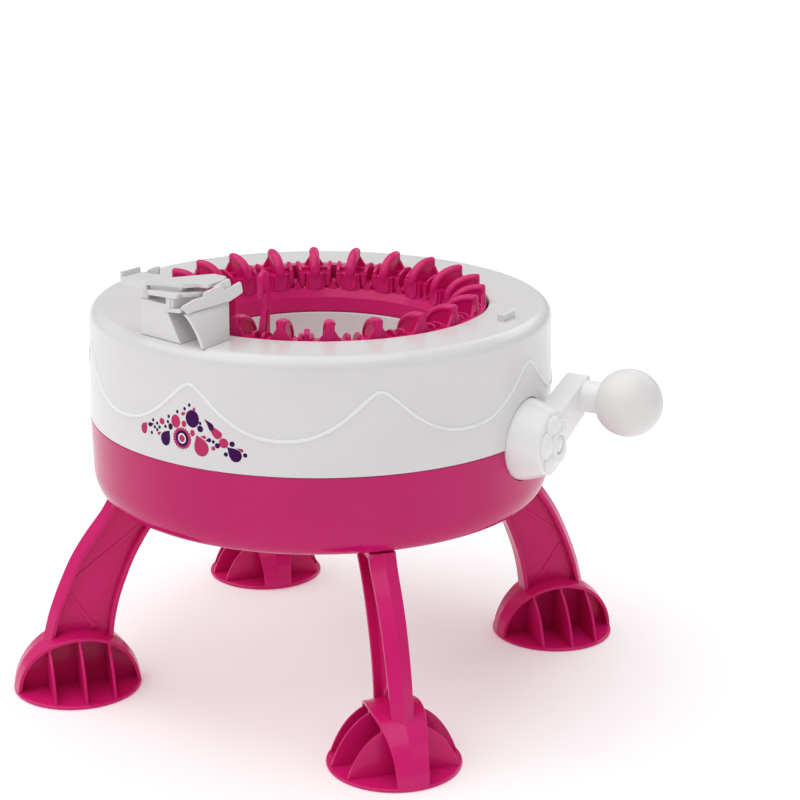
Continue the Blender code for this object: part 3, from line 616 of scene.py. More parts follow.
def wave_bead():
    """Thin half-round line standing on the white wall, its edges sunk a little into it."""
    steps = 720
    half = 0.8
    proud = 0.62
    sunk = 0.25
    reach = 180.0 / steps
    loops = []
    for i in range(steps):
        degrees = 360.0 * i / steps
        ahead = wave_height(degrees + reach) - wave_height(degrees - reach)
        along = math.radians(2.0 * reach) * CASING_R
        length = math.hypot(ahead, along)
        loop = []
        for k in range(9):
            turn = math.pi * k / 8.0
            side = half * math.cos(turn)
            out = proud * math.sin(turn) - (sunk if k in (0, 8) else 0.0)
            z = wave_height(degrees) + side * along / length
            angle = math.radians(degrees) - side * ahead / length / CASING_R
            radius = wall_radius(z) + out
            loop.append((radius * math.cos(angle), radius * math.sin(angle), z))
        loops.append(loop)
    return rings(loops, True)


def plain(points):
    """Outline points that stay as they are when the outline is filleted."""
    return [(x, y, 0.0) for x, y in points]


def lower_casing():
    """Bowl: a lip around the throat, a shallow ring groove underneath, a rounded corner and the wall."""
    top = SEAM_Z - SEAM_LINE / 2.0
    floor = FLOOR_Z + WALL
    lip = FLOOR_Z - 1.1
    centre = (BOWL_R, FLOOR_Z + BOWL_RISE)
    corners = [(SLEEVE_IN_R, floor, 0.0), (SLEEVE_IN_R, lip, 0.5), (61.6, lip, 0.5)]
    corners += [(61.8, FLOOR_Z, 0.0), (69.6, FLOOR_Z, 0.0), (70.0, FLOOR_Z + 0.5, 0.0)]
    corners += [(71.4, FLOOR_Z + 0.5, 0.0), (71.8, FLOOR_Z, 0.0)]
    corners += plain(arc(centre, BOWL_REACH, BOWL_RISE, -90, 0, 14))
    corners += [(SEAM_R, top, 0.4), (SEAM_R - WALL, top, 0.3)]
    corners += plain(arc(centre, BOWL_REACH - WALL, BOWL_RISE - WALL, 0, -90, 10))
    shell = lathe(filleted(corners))
    steps = [("DIFFERENCE", hub_cutter())]
    for angle in SCREW_ANGLES:
        well = spindle([(3.4, FLOOR_Z - 4.0), (3.2, FLOOR_Z + 20.0)], 32)
        steps.append(("DIFFERENCE", turned(shifted(well, SCREW_RING_R, 0, 0), angle)))
    return combined(shell, steps)


def screw_post():
    """Tube that the casing screw runs in, standing inside the lower casing."""
    foot = FLOOR_Z + 2.0
    return lathe(filleted([
        (SCREW_BORE_R, foot, 0.0),
        (SCREW_POST_R, foot, 0.0),
        (SCREW_POST_R, SCREW_POST_TOP_Z, 0.3),
        (SCREW_BORE_R, SCREW_POST_TOP_Z, 0.3),
    ]), 32)


def sleeve():
    """Tube inside the throat with a flange at its foot."""
    outer = SLEEVE_FOOT_R - 1.6
    flange = SLEEVE_FOOT_Z + 2.0
    return lathe(filleted([
        (SLEEVE_IN_R, SLEEVE_FOOT_Z, 0.3),
        (SLEEVE_FOOT_R, SLEEVE_FOOT_Z, 0.3),
        (SLEEVE_FOOT_R, flange, 0.3),
        (outer, flange, 0.0),
        (outer, SLEEVE_TOP_Z, 0.5),
        (SLEEVE_IN_R, SLEEVE_TOP_Z, 0.5),
    ]), 192)


# ---------------------------------------------------------------- legs

def leg_outer():
    """Outer edge of the leg in the radial plane, from the casing down into the foot."""
    return spline([
        (104.0, 92.2), (107.8, 86.0), (115.4, 76.0), (122.6, 64.7),
        (128.9, 51.0), (132.8, 40.8), (135.0, 33.4), (137.5, 23.0),
    ], 5)


def leg_inner():
    """Inner edge of the leg, with as many points as the outer one."""
    return spline([
        (76.9, 92.2), (80.8, 86.0), (87.5, 77.0), (94.0, 65.7),
        (98.4, 55.5), (102.5, 43.8), (105.2, 31.3), (106.5, 18.0),
    ], 5)


def leg_beam():
    """I-section of the leg: web, ridged outer flange, inner flange and the head under the casing floor."""
    outer = leg_outer()
    inner = leg_inner()
    narrowing = [1.0 - LEG_TAPER * i / (len(outer) - 1) for i in range(len(outer))]
    outer_section = filleted([
        (-FLANGE_HALF, -2.5, 0.4),
        (FLANGE_HALF, -2.5, 0.4),
        (FLANGE_HALF, -0.7, 0.5),
        (0.0, 2.3, 0.6),
        (-FLANGE_HALF, -0.7, 0.5),
    ], 20.0)
    inner_section = rounded_section(INNER_FLANGE_HALF, 0.0, 2.4, 0.5)
    web_line = offset_chain(inner, 1.2) + list(reversed(offset_chain(outer, -1.2)))
    web = radial_plate(web_line, -WEB_HALF, WEB_HALF)
    head = rounded(box((76.6, -6.2, 89.6), (104.6, 6.2, FLOOR_Z - HEAD_GAP)), 0.7)
    return joined([
        strip(outer, outer_section, widths=narrowing),
        strip(inner, inner_section, widths=narrowing),
        web,
        head,
    ])


def flat_bar(start, end, width, low_y, high_y):
    """Straight raised bar in the radial plane."""
    along = (Vector(end) - Vector(start)).normalized() * (width / 2.0)
    side = Vector((-along.y, along.x))
    corners = [Vector(start) - side, Vector(end) - side, Vector(end) + side, Vector(start) + side]
    return radial_plate([tuple(c) for c in corners], low_y, high_y)


def web_marks():
    """Two shallow stiffening bars and the round ejector mark on one side of the web."""
    marks = [
        flat_bar((80.5, 86.6), (124.0, 54.4), MARK_WIDTH, *MARK_Y),
        flat_bar((126.2, 47.6), (116.0, 31.6), MARK_WIDTH, *MARK_Y),
    ]
    marks = [rounded(mark, 0.12, 1) for mark in marks]
    dot = spindle([(1.9, MARK_Y[0]), (1.9, MARK_Y[1]), (1.5, 2.2)], 24)
    marks.append(shifted(moved(dot, ALONG_WEB_NORMAL), 115.1, 0.0, 30.4))
    return joined(marks)


def arch_height(offset):
    """Outer height of the foot's arch at a radial distance from the foot's centre."""
    rise = FOOT_TOP_Z - ARCH_BASE_Z
    return ARCH_BASE_Z + rise * math.sqrt(max(0.0, 1.0 - (offset / (FOOT_R - 0.2)) ** 2))


def arch_half_width(height):
    """Half width of the arch band, which flares towards its top."""
    return ARCH_HALF + ARCH_FLARE * (height / FOOT_TOP_Z) ** 3


def foot_arch():
    """Band that bends over the foot, creased along its middle and wider where the leg stands on it."""
    chain = arc((FOOT_RING_R, ARCH_BASE_Z), FOOT_R - 0.5, FOOT_TOP_Z - ARCH_BASE_Z, 0, 180, 40)
    widths = [arch_half_width(z) / ARCH_HALF for _, z in chain]
    section = filleted([
        (-ARCH_HALF, 2.3, 0.4),
        (-ARCH_HALF, 0.5, 0.5),
        (0.0, -0.45, 0.3),
        (ARCH_HALF, 0.5, 0.5),
        (ARCH_HALF, 2.3, 0.4),
    ], 20.0)
    return strip(chain, section, widths=widths)


def foot_rib(offset):
    """Cross rib: a notch under the arch band, then a curve down to the rim of the disc."""
    top = arch_height(offset)
    edge = arch_half_width(top) - 0.1
    reach = math.sqrt((FOOT_R - 0.6) ** 2 - offset ** 2) - 0.3
    notch = top - 3.6
    half = [(edge, top - 1.4)]
    for i in range(13):
        t = i / 12.0
        y = edge + (reach - edge) * (2.0 * t * (1.0 - t) * 0.66 + t * t)
        z = notch + (RIB_FOOT_Z - notch) * (2.0 * t * (1.0 - t) * 0.24 + t * t)
        half.append((y, z))
    outline = [(-y, z) for y, z in half] + [(y, z) for y, z in reversed(half)]
    plate = facing_plate(outline, offset - RIB_THICK / 2.0, offset + RIB_THICK / 2.0)
    return shifted(rounded(plate, 0.3, 2), FOOT_RING_R, 0.0, 0.0)


def foot():
    """Round base disc, the arch over it, a keel under the arch and the cross ribs."""
    disc = spindle([
        (FOOT_R - 2.6, 0.0), (FOOT_R - 0.7, 0.02), (FOOT_R - 0.15, 0.3), (FOOT_R, 0.8),
        (FOOT_R - 0.1, 1.3), (FOOT_R - 0.5, 1.65), (FOOT_R - 1.1, 1.75),
    ], 96)
    keel_line = arc((FOOT_RING_R, 0.6), FOOT_R - 1.4, FOOT_TOP_Z - 1.8, 0, 180, 32)
    pieces = [shifted(disc, FOOT_RING_R, 0.0, 0.0), foot_arch(), radial_plate(keel_line, -1.1, 1.1)]
    pieces += [foot_rib(offset) for offset in RIB_PLACES]
    return joined(pieces)


def leg():
    marks = web_marks()
    return joined([leg_beam(), marks, mirrored_y(marks), foot()])


# ---------------------------------------------------------------- crown

def crown_core():
    """Turned body of the needle cylinder with its 22 needle slots."""
    low = CYLINDER_BOTTOM_Z
    core = lathe(filleted([
        (61.3, low, 0.4), (73.5, low, 0.4), (73.5, 152.5, 0.0), (74.7, 152.5, 0.0),
        (74.7, 172.8, 0.0), (76.4, 172.8, 0.0), (76.4, 152.5, 0.0),
        (94.0, 152.5, 0.4), (94.0, 156.0, 0.4), (79.0, 156.0, 0.8),
        (79.0, 184.2, 0.5), (71.5, 184.2, 0.4), (71.5, FIN_LOW_Z, 0.3),
        (WINDOW_BACK_R, FIN_LOW_Z, 0.35), (WINDOW_BACK_R, WINDOW_Z, 0.5),
        (63.2, WINDOW_Z, 0.35), (LEDGE_R, 170.7, 0.7), (LEDGE_R, 163.5, 0.4), (61.3, 163.5, 0.0),
    ], 30.0), NEEDLES * 12, NEEDLE_PHASE_DEG + PITCH_DEG / 24.0)
    slot = box((63.0, -SLOT_WIDTH / 2.0, 100.0), (75.9, SLOT_WIDTH / 2.0, 190.0))
    slots = [turned(slot, NEEDLE_PHASE_DEG + PITCH_DEG * k) for k in range(NEEDLES)]
    return combined(core, [("DIFFERENCE", joined(slots))])


def fin():
    """Crown fin: a bead along the curved edge, a thinner blade, its column, panel and gusset."""
    lead = 0.35
    curve = arc((76.0, FIN_LOW_Z), 76.0 - FIN_IN_R + lead, FIN_TOP_Z - FIN_LOW_Z, 180, 90, 18)
    corner = arc((FIN_OUT_R - 1.3, FIN_TOP_Z - 1.3), 1.3, 1.3, 90, 0, 5)
    chain = curve + corner + [(FIN_OUT_R, 188.0), (FIN_OUT_R, 181.0)]
    half = FIN_THICK / 2.0
    section = arc((0.0, -2.0), half, 2.0, 180, 0, 14) + [(half - 0.2, -2.5), (0.2 - half, -2.5)]
    tail = len(corner) + 2
    widths = [0.9, 0.97] + [1.0] * (len(chain) - 2 - tail) + [0.86] * (tail - 1) + [1.0]
    bead = strip(chain, section, widths=widths)
    blade_line = offset_chain(chain[1:], -1.0)
    blade = radial_plate(list(reversed(blade_line)) + [(62.6, 180.0), (77.0, 180.0)], -1.9, 1.9)
    sides = arc((0.0, 177.4), COLUMN_HALF, COLUMN_HALF, 180, 360, 16)
    column = facing_plate(sides + [(COLUMN_HALF, 182.6), (-COLUMN_HALF, 182.6)], 62.2, 66.0)
    panel = loft(
        [(61.9, -6.0, 168.0), (67.0, -6.0, 168.0), (67.0, 6.0, 168.0), (61.9, 6.0, 168.0)],
        [(63.6, -4.2, 182.5), (67.0, -4.2, 182.5), (67.0, 4.2, 182.5), (63.6, 4.2, 182.5)],
    )
    gusset = facing_plate([(-6.9, 181.4), (6.9, 181.4), (2.0, 189.0), (-2.0, 189.0)], 76.3, 77.9)
    return joined([
        bead,
        blade,
        rounded(column, 0.35, 2, 40.0),
        rounded(panel, 0.35, 2),
        rounded(gusset, 0.3, 2),
    ])


def window_bar():
    """One of the two bars beside a needle: wide below with a round foot, narrow above."""
    foot_round = arc((2.95, 176.6), 1.45, 1.45, 180, 360, 10)
    lower = facing_plate(foot_round + [(4.4, 180.4), (3.4, 182.4), (1.5, 182.4)], 65.0, 67.0)
    upper = radial_plate([
        (65.7, 180.0), (76.9, 180.0), (76.9, 185.2), (75.8, 186.5), (71.5, 186.4), (66.6, 184.0),
    ], 1.5, 3.3)
    return joined([rounded(lower, 0.4, 2, 40.0), rounded(upper, 0.45, 2, 25.0)])


def window():
    """What stands in front of a needle: a bar on each side and a pointed tooth below."""
    bar = window_bar()
    tooth = facing_plate([(-2.5, 174.6), (2.5, 174.6), (0.0, 179.4)], 63.0, 63.9)
    return joined([bar, mirrored_y(bar), rounded(tooth, 0.2, 2)])


def crown():
    """Needle cylinder with its ring of fins and windows."""
    pieces = [crown_core()]
    one_fin = fin()
    one_window = window()
    for k in range(NEEDLES):
        angle = NEEDLE_PHASE_DEG + PITCH_DEG * k
        pieces.append(turned(one_window, angle))
        pieces.append(turned(one_fin, angle + PITCH_DEG / 2.0))
    return joined(pieces)


def wire_bends():
    """Bright bends of the retaining wire that show at the foot of each window."""
    bend = shifted(spindle([(0.55, -0.5), (0.62, 0.1), (0.5, 0.42), (0.22, 0.62)], 16), 64.6, -3.9, WINDOW_Z)
    return joined([turned(bend, NEEDLE_PHASE_DEG + PITCH_DEG * k) for k in range(NEEDLES)])


def needle(top):
    """Hooked needle with a butt near its foot and a groove down each side."""
    low = top - NEEDLE_LENGTH
    butt = top - BUTT_TO_TOP
    outline = filleted([
        (65.0, low, 0.8), (70.0, low, 0.8), (73.0, low + 4.0, 1.0), (73.0, butt, 0.3),
        (BUTT_END_R, butt, 0.5), (BUTT_END_R, butt + 4.0, 0.5), (73.0, butt + 4.0, 0.3),
        (73.4, top - 26.0, 4.0), (69.4, top - 17.5, 4.0), (68.9, top - 10.5, 1.6),
        (70.6, top - 8.0, 0.8), (72.0, top - 9.2, 0.6), (72.6, top - 12.2, 0.5),
        (73.9, top - 11.4, 0.5), (74.4, top - 5.2, 3.0), (73.2, top - 1.2, 2.4),
        (69.6, top, 3.0), (66.2, top - 1.2, 3.2), (63.9, top - 7.0, 5.0), (64.8, top - 24.0, 8.0),
    ], 14.0)
    half = NEEDLE_THICK / 2.0
    blade = rounded(radial_plate(outline, -half, half), 0.42, 3, 40.0)
    groove_line = filleted([
        (66.4, top - 50.0, 1.5), (71.6, top - 50.0, 1.5), (71.6, top - 27.5, 1.5),
        (68.0, top - 18.0, 1.5), (66.4, top - 18.0, 1.0), (66.4, top - 28.0, 3.0),
    ])
    grooves = joined([
        radial_plate(groove_line, half - GROOVE_DEPTH, half + 1.0),
        radial_plate(groove_line, -half - 1.0, -half + GROOVE_DEPTH),
    ])
    return combined(blade, [("DIFFERENCE", grooves)])


# ---------------------------------------------------------------- crank

def at_knob(piece):
    return shifted(piece, 0.0, KNOB_Y, KNOB_UP)


def crank_arm():
    """Hub that narrows to its face, the flat arm and the neck under the knob."""
    barrel = spline([
        (17.6, HUB_BACK_X), (19.0, HUB_BACK_X + 0.5), (HUB_R, HUB_BACK_X + 2.0),
        (HUB_R, 110.5), (18.3, 114.5), (16.9, 119.0),
        (15.7, 122.2), (15.2, 123.4), (14.6, HUB_FACE_X - 0.1),
    ], 4)
    hub = along_crank(spindle(barrel + [(14.2, HUB_FACE_X)], 128))
    bar_plan = filleted([(2.0, -9.2, 0.0), (45.0, -7.8, 2.2), (45.0, 7.8, 2.2), (2.0, 9.8, 0.0)])
    bar = rounded(prism(bar_plan, ARM_BACK_X, HUB_FACE_X - 0.05), 0.7, 3, 40.0)
    bar = along_crank(turned(bar, ARM_DEG))
    neck = at_knob(along_crank(spindle([
        (NECK_R + 0.9, HUB_FACE_X - 0.6),
        (NECK_R + 0.25, HUB_FACE_X + 0.15),
        (NECK_R, HUB_FACE_X + 0.9),
        (NECK_R, NECK_END_X - 0.5),
        (NECK_R - 0.4, NECK_END_X),
    ], 64)))
    return joined([hub, bar, neck])


def knob():
    """Ball handle, cut flat where it meets the neck."""
    centre = KNOB_FACE_X + math.sqrt(KNOB_R ** 2 - KNOB_FLAT_R ** 2)
    start = math.degrees(math.asin((KNOB_FACE_X - centre) / KNOB_R))
    profile = [(KNOB_SEAT_R, KNOB_FACE_X)] + arc((0.0, centre), KNOB_R, KNOB_R, start + 1.5, 89.0, 44)
    return at_knob(along_crank(spindle(profile, 96)))


def dome(radial, sideways, height):
    """Half ellipsoid with a flat base, its top towards +Z."""
    levels = 8
    around = 32
    loops = []
    for i in range(levels + 1):
        climb = math.radians(88.0 * i / levels)
        size = math.cos(climb)
        top = height * math.sin(climb)
        turns = [2.0 * math.pi * k / around for k in range(around)]
        loops.append([(radial * size * math.cos(t), sideways * size * math.sin(t), top) for t in turns])
    return rings(loops, False)


def flower():
    """Domed petals about a ringed button, set on the hub's face."""
    face = HUB_FACE_X + 0.05
    petal = shifted(dome(5.7, 6.2, 3.3), 8.0, 0.0, face)
    petals = [turned(petal, PETAL_TURN_DEG + 360.0 / PETALS * i) for i in range(PETALS)]
    ring = lathe(filleted([
        (4.5, face + 0.6, 0.0), (6.5, face + 0.6, 0.0), (6.4, face + 3.8, 0.8), (4.5, face + 3.8, 0.6),
    ]), 64)
    seat = spindle([(4.7, face), (4.7, face + 2.3)], 48)
    button = shifted(dome(4.4, 4.4, 1.6), 0.0, 0.0, face + 2.2)
    return along_crank(joined(petals + [ring, seat, button]))


# ---------------------------------------------------------------- yarn guide

def block_front(x):
    """Front of the guide block at a given x: its face runs slightly askew."""
    return -99.6 - (x + 32.2) * 5.7 / 24.7


def guide_base():
    """Block with its shelf, curved side panel and back wall, standing on the casing rim."""
    low = CASING_TOP_Z + 0.05
    face = [(-33.0, low), (-7.4, low), (-15.6, 198.6), (-15.6, BLOCK_TOP_Z), (-33.0, BLOCK_TOP_Z)]
    block = loft([(x, block_front(x), z) for x, z in face], [(x, GUIDE_BACK_Y, z) for x, z in face])
    shelf = loft(
        [(-18.0, -103.6, 198.1), (-7.8, -104.5, 198.8), (-7.8, -90.0, 198.8), (-18.0, -90.0, 198.1)],
        [(-18.4, -103.3, 199.9), (-8.0, -104.1, 200.6), (-8.0, -90.0, 200.6), (-18.4, -90.0, 199.9)],
    )
    lean = spline([(6.0, low), (4.6, 188.2), (1.8, 192.6), (-1.8, 196.8), (-4.4, 198.7)], 5)
    loops = []
    for x, z in lean:
        rise = (z - low) / (198.7 - low)
        front = -107.0 + 1.7 * rise
        back_z = low + rise * (202.5 - low)
        loops.append([
            (x - 1.9, front + 0.3, z),
            (x, front, z),
            (6.0, GUIDE_BACK_Y, back_z),
            (4.1, GUIDE_BACK_Y, back_z),
        ])
    panel = rings(loops, False)
    back = box((-12.0, -89.4, low), (5.2, -87.2, 200.0))
    return joined([
        rounded(block, 0.5, 2),
        rounded(shelf, 0.6, 3),
        rounded(panel, 0.35, 2, 40.0),
        rounded(back, 0.4, 2),
    ])


def guide_bracket():
    """Thin plate over the block, with the slanted wall, the front post and the broad left post."""
    plan = filleted([
        (-26.8, -102.2, 0.8), (-24.8, -104.4, 0.8), (-9.6, -104.6, 0.8), (-8.8, -101.0, 0.5),
        (-3.4, -96.4, 0.8), (0.4, -88.6, 0.8), (-29.5, -88.4, 0.8),
    ])
    plate = rounded(prism(plan, *BRACKET_Z), 0.6, 3, 50.0)
    wall = prism([(-14.6, -102.8), (-12.6, -103.2), (-5.4, -89.2), (-7.4, -88.6)], 200.2, 205.6)
    posts = [
        box((-16.4, -103.4, 200.0), (-14.0, -101.4, 205.6)),
        box((-31.6, -99.4, 201.5), (-28.6, -90.4, 207.4)),
    ]
    return joined([plate, rounded(wall, 0.3, 2)] + [rounded(post, 0.3, 2) for post in posts])


def guide_top():
    """Flat top plate on its riser, with a deep wing, an upturned lip and a small upright tab."""
    plan = filleted([
        (-41.9, -102.1, 0.8), (-26.6, -103.6, 0.8), (-21.6, -101.8, 1.0), (-9.4, -100.4, 1.0),
        (-4.6, -95.2, 0.8), (0.4, -95.1, 0.8), (1.2, -84.6, 1.5), (-1.6, -77.4, 1.2),
        (-9.3, -76.0, 1.5), (-21.6, -92.0, 1.2), (-40.9, -89.6, 0.8),
    ])
    plate = rounded(prism(plan, *TOP_PLATE_Z), 0.45, 2, 50.0)
    wing_plan = filleted([
        (-41.9, -102.1, 0.8), (-26.6, -103.7, 0.8), (-26.6, -90.6, 0.6), (-40.9, -89.6, 0.8),
    ])
    wing = rounded(prism(wing_plan, 206.9, 210.4), 0.45, 2, 50.0)
    lip_plan = filleted([
        (-41.9, -102.1, 0.5), (-40.4, -102.3, 0.5), (-39.4, -89.7, 0.5), (-40.9, -89.6, 0.5),
    ])
    lip = rounded(prism(lip_plan, 209.6, 213.2), 0.4, 2, 50.0)
    riser = prism([(-26.0, -101.6), (-10.6, -99.4), (-10.6, -90.0), (-26.0, -90.0)], 207.0, 209.4)
    tab_line = filleted([
        (-36.6, 210.5, 0.3), (-30.4, 210.5, 0.0), (-30.4, 214.2, 0.8),
        (-32.0, 214.0, 0.8), (-36.6, 211.8, 0.4),
    ])
    tab = rounded(radial_plate(tab_line, -88.8, -87.4), 0.25, 2, 40.0)
    return joined([plate, wing, lip, riser, tab])


def feeder():
    """Stepped lip on the side panel; its nose brings the yarn to the hooks."""
    outline = filleted([
        (-1.2, 198.9, 0.4), (2.4, 200.0, 0.6), (19.2, 202.9, 0.8), (25.1, 206.1, 0.7), (24.3, 211.2, 0.8),
        (18.8, 208.7, 0.5), (16.3, 208.4, 0.5), (15.6, 210.2, 0.6), (14.7, 210.5, 0.5), (6.7, 207.8, 0.7),
        (6.5, 206.0, 0.4), (2.0, 205.2, 0.7), (-3.7, 202.6, 0.5), (-3.7, 201.6, 0.5),
    ])
    plate = rounded(radial_plate(outline, -0.9, 0.9), 0.35, 2, 40.0)
    step_line = filleted([
        (12.0, 203.4, 0.5), (20.1, 203.4, 0.5), (20.1, 209.6, 0.5),
        (19.6, 212.4, 0.8), (18.6, 212.6, 0.6), (12.0, 209.6, 0.6),
    ])
    step = rounded(radial_plate(step_line, 0.6, 2.2), 0.35, 2, 40.0)
    place = Matrix.Translation((-3.6, -103.4, 0.0)) @ Matrix.Rotation(math.radians(57.5), 4, "Z")
    return moved(joined([plate, step]), place)


# ---------------------------------------------------------------- printed motif

def on_wall(centre_deg, centre_z, points, height):
    """Points (along, up) laid on the white wall around a centre, standing a little proud."""
    laid = []
    for along, up in points:
        z = centre_z + up
        radius = wall_radius(z) + height
        angle = math.radians(centre_deg) + along / wall_radius(centre_z)
        laid.append((radius * math.cos(angle), radius * math.sin(angle), z))
    return laid


def motif_deg(side):
    """Direction of a place on the wall that lies side millimetres along it from the motif's middle."""
    return DECAL_DEG + side / DECAL_MM_PER_DEG


def print_patch(side, z, outline):
    """Thin closed patch of ink with the given outline about its own centre."""
    loops = [on_wall(motif_deg(side), z, outline, -INK_SUNK)]
    for size in (1.0, 0.66, 0.33, 0.05):
        points = [(x * size, y * size) for x, y in outline]
        loops.append(on_wall(motif_deg(side), z, points, INK_PROUD))
    return rings(loops, False)


def drop(tip, width, height):
    """Teardrop outline about its round end, drawn out to a tip given relative to that end."""
    heading = math.atan2(tip[1], tip[0])
    count = 48
    points = []
    for i in range(count):
        angle = 2.0 * math.pi * i / count
        pull = ((1.0 + math.cos(angle - heading)) / 2.0) ** 5
        x = width / 2.0 * math.cos(angle)
        y = height / 2.0 * math.sin(angle)
        points.append((x + (tip[0] - x) * pull, y + (tip[1] - y) * pull))
    return points


def oval(width, height, count=28):
    turns = [2 * math.pi * i / count for i in range(count)]
    return [(width / 2.0 * math.cos(t), height / 2.0 * math.sin(t)) for t in turns]


def scalloped(radius, depth, lobes):
    points = []
    for i in range(lobes * 8):
        angle = 2.0 * math.pi * i / (lobes * 8)
        size = radius - depth * (1.0 - abs(math.cos(lobes * angle / 2.0)))
        points.append((size * math.cos(angle), size * math.sin(angle)))
    return points


def print_shapes(drops, dots, sized_dots):
    """Patches from (side, z, tip, width, height), (side, z) and (side, z, width, height) rows."""
    items = [(side, z, drop(tip, width, height)) for side, z, tip, width, height in drops]
    items += [(side, z, oval(*SMALL_DOT)) for side, z in dots]
    items += [(side, z, oval(width, height)) for side, z, width, height in sized_dots]
    return joined([print_patch(*item) for item in items])


def decal_pink():
    """Pink share of a generic cluster of dots and drops around a rosette."""
    drops = [
        (-28.5, 144.5, (2.0, 3.0), 4.0, 5.0),
        (4.5, 141.5, (-2.5, 5.5), 7.5, 8.0),
        (12.5, 148.5, (-6.5, 6.0), 4.5, 4.0),
        (-5.0, 155.5, (1.5, 1.0), 2.0, 1.5),
        (-19.0, 144.0, (1.5, 1.0), 1.5, 1.5),
        (6.0, 146.5, (-2.0, 0.0), 2.0, 1.5),
        (24.0, 142.5, (-2.5, 1.0), 1.5, 1.5),
    ]
    dots = [(1.0, 158.5)]
    sized_dots = [
        (-17.0, 150.0, 3.0, 3.0),
        (-9.0, 151.5, 5.0, 6.0),
        (-4.5, 151.0, 2.5, 3.0),
        (0.0, 147.5, 2.5, 3.0),
        (15.5, 145.0, 4.5, 4.5),
        (10.5, 142.0, 2.0, 2.0),
    ]
    rosette = print_patch(ROSETTE_SIDE, ROSETTE_Z, scalloped(5.1, 0.7, 22))
    return joined([rosette, print_shapes(drops, dots, sized_dots)])


def decal_purple():
    """Purple share of the same cluster."""
    drops = [
        (-15.0, 142.5, (2.5, 4.0), 5.5, 6.5),
        (9.5, 151.5, (-3.5, 3.5), 2.5, 3.5),
        (8.5, 145.5, (-2.0, -0.5), 2.0, 2.0),
        (21.0, 140.0, (-4.0, 3.5), 6.0, 6.0),
        (-24.5, 147.0, (2.5, 1.0), 2.5, 2.0),
    ]
    dots = [
        (-23.5, 143.5), (-20.0, 145.5), (-21.5, 146.5), (-18.5, 147.0), (-20.0, 148.5), (-22.5, 149.5),
        (-15.0, 148.0), (-13.5, 150.5), (-13.0, 153.0), (-8.0, 156.0), (-4.0, 158.0), (-1.5, 160.0),
        (4.0, 152.5), (10.5, 145.0),
    ]
    sized_dots = [
        (0.0, 154.0, 7.0, 8.0),
        (-12.0, 148.5, 2.5, 3.0),
        (4.0, 150.0, 3.0, 3.0),
        (12.5, 143.5, 2.5, 2.5),
        (19.5, 145.0, 2.5, 2.5),
        (16.5, 140.0, 2.0, 2.0),
        (25.5, 140.5, 2.0, 2.0),
    ]
    return print_shapes(drops, dots, sized_dots)


def printed_ring(outer_size, inner_size, height):
    """Ring of ink around the rosette's middle."""
    outer = oval(*outer_size, 48)
    inner = oval(*inner_size, 48)
    centre = motif_deg(ROSETTE_SIDE)
    section = [(outer, 0.0), (outer, height), (inner, height), (inner, 0.0)]
    return rings([on_wall(centre, ROSETTE_Z, outline, lift) for outline, lift in section], True)


# ---------------------------------------------------------------- assembly

def build_machine():
    add_piece("upper_casing_shell", upper_casing(), WHITE, "base", ["upper_casing"])
    # The bead's lighter white is a painted highlight.
    add_piece("wave_bead", wave_bead(), PAINTED_LIGHT_WHITE_AND_INK, "base", smooth_deg=60.0)
    add_piece("lower_casing_shell", lower_casing(), PINK, "base", ["lower_casing"])
    post = screw_post()
    posts = joined([turned(shifted(post, SCREW_RING_R, 0, 0), angle) for angle in SCREW_ANGLES])
    add_piece("screw_posts", posts, PINK, "base")
    add_piece("sleeve_tube", sleeve(), WHITE, "base", ["inner_sleeve"])
    one_leg = leg()
    for name, angle in LEG_ANGLES.items():
        moulding = turned(one_leg, angle)
        # The legs' lighter pink is painted light from the floor and horizon.
        add_piece("leg_moulding_" + name, moulding, PAINTED_LIGHT_PINK, "base", ["leg_" + name])

    add_piece("guide_block", guide_base(), WHITE, "base", ["yarn_guide_base"])
    add_piece("guide_bracket", guide_bracket(), WHITE, "base", ["yarn_guide_bracket"])
    add_piece("guide_top_plate", guide_top(), WHITE, "base", ["yarn_guide_top"])
    add_piece("feeder_lip", feeder(), WHITE, "base", ["yarn_feeder"])

    add_piece("print_pink", decal_pink(), INK_PINK, "base", smooth_deg=60.0)
    add_piece("print_purple", decal_purple(), INK_PURPLE, "base", smooth_deg=60.0)
    add_piece("print_ring", printed_ring((6.8, 7.4), (4.2, 4.7), 0.12), INK_PURPLE, "base")
    # The eye's lighter white stands for white ink.
    add_piece("print_eye", printed_ring((4.3, 4.8), (3.1, 3.4), 0.1), PAINTED_LIGHT_WHITE_AND_INK, "base")

    # The crown and needles' lighter pink is painted light, standing in for their highlights.
    add_piece("crown_body", crown(), PAINTED_LIGHT_PINK, "cylinder", ["needle_cylinder"])
    add_piece("wire_bends", wire_bends(), BRASS, "cylinder")
    low_needle = needle(0.0)
    for k in range(NEEDLES):
        node = "needle_{:02d}".format(k + 1)
        top = span(node)[1].z
        blade = turned(shifted(low_needle, 0.0, 0.0, top), NEEDLE_PHASE_DEG + PITCH_DEG * k)
        add_piece(node + "_blade", blade, PAINTED_LIGHT_PINK, node, [node])

    # The crank and flower's lighter white is painted light falling from the right.
    add_piece("crank_moulding", crank_arm(), PAINTED_LIGHT_WHITE_AND_INK, "crank", ["crank_arm"])
    add_piece("flower_moulding", flower(), PAINTED_LIGHT_WHITE_AND_INK, "crank", ["flower_cap"], 50.0)
    add_piece("ball_knob", knob(), KNOB_WHITE, "knob_ball", ["knob"])


def dress_inner_parts():
    """CAD pieces whose own shape stays: they get the finished materials."""
    looks = {"white_abs": WHITE, "pink_abs": PINK, "zinc_steel": STEEL, "brass_wire": BRASS}
    for part in frame["record"]["subparts"]:
        obj = frame["nodes"][part["node"]]
        obj.data.materials.clear()
        obj.data.materials.append(looks[part["material_slot"]])


# ---------------------------------------------------------------- studio

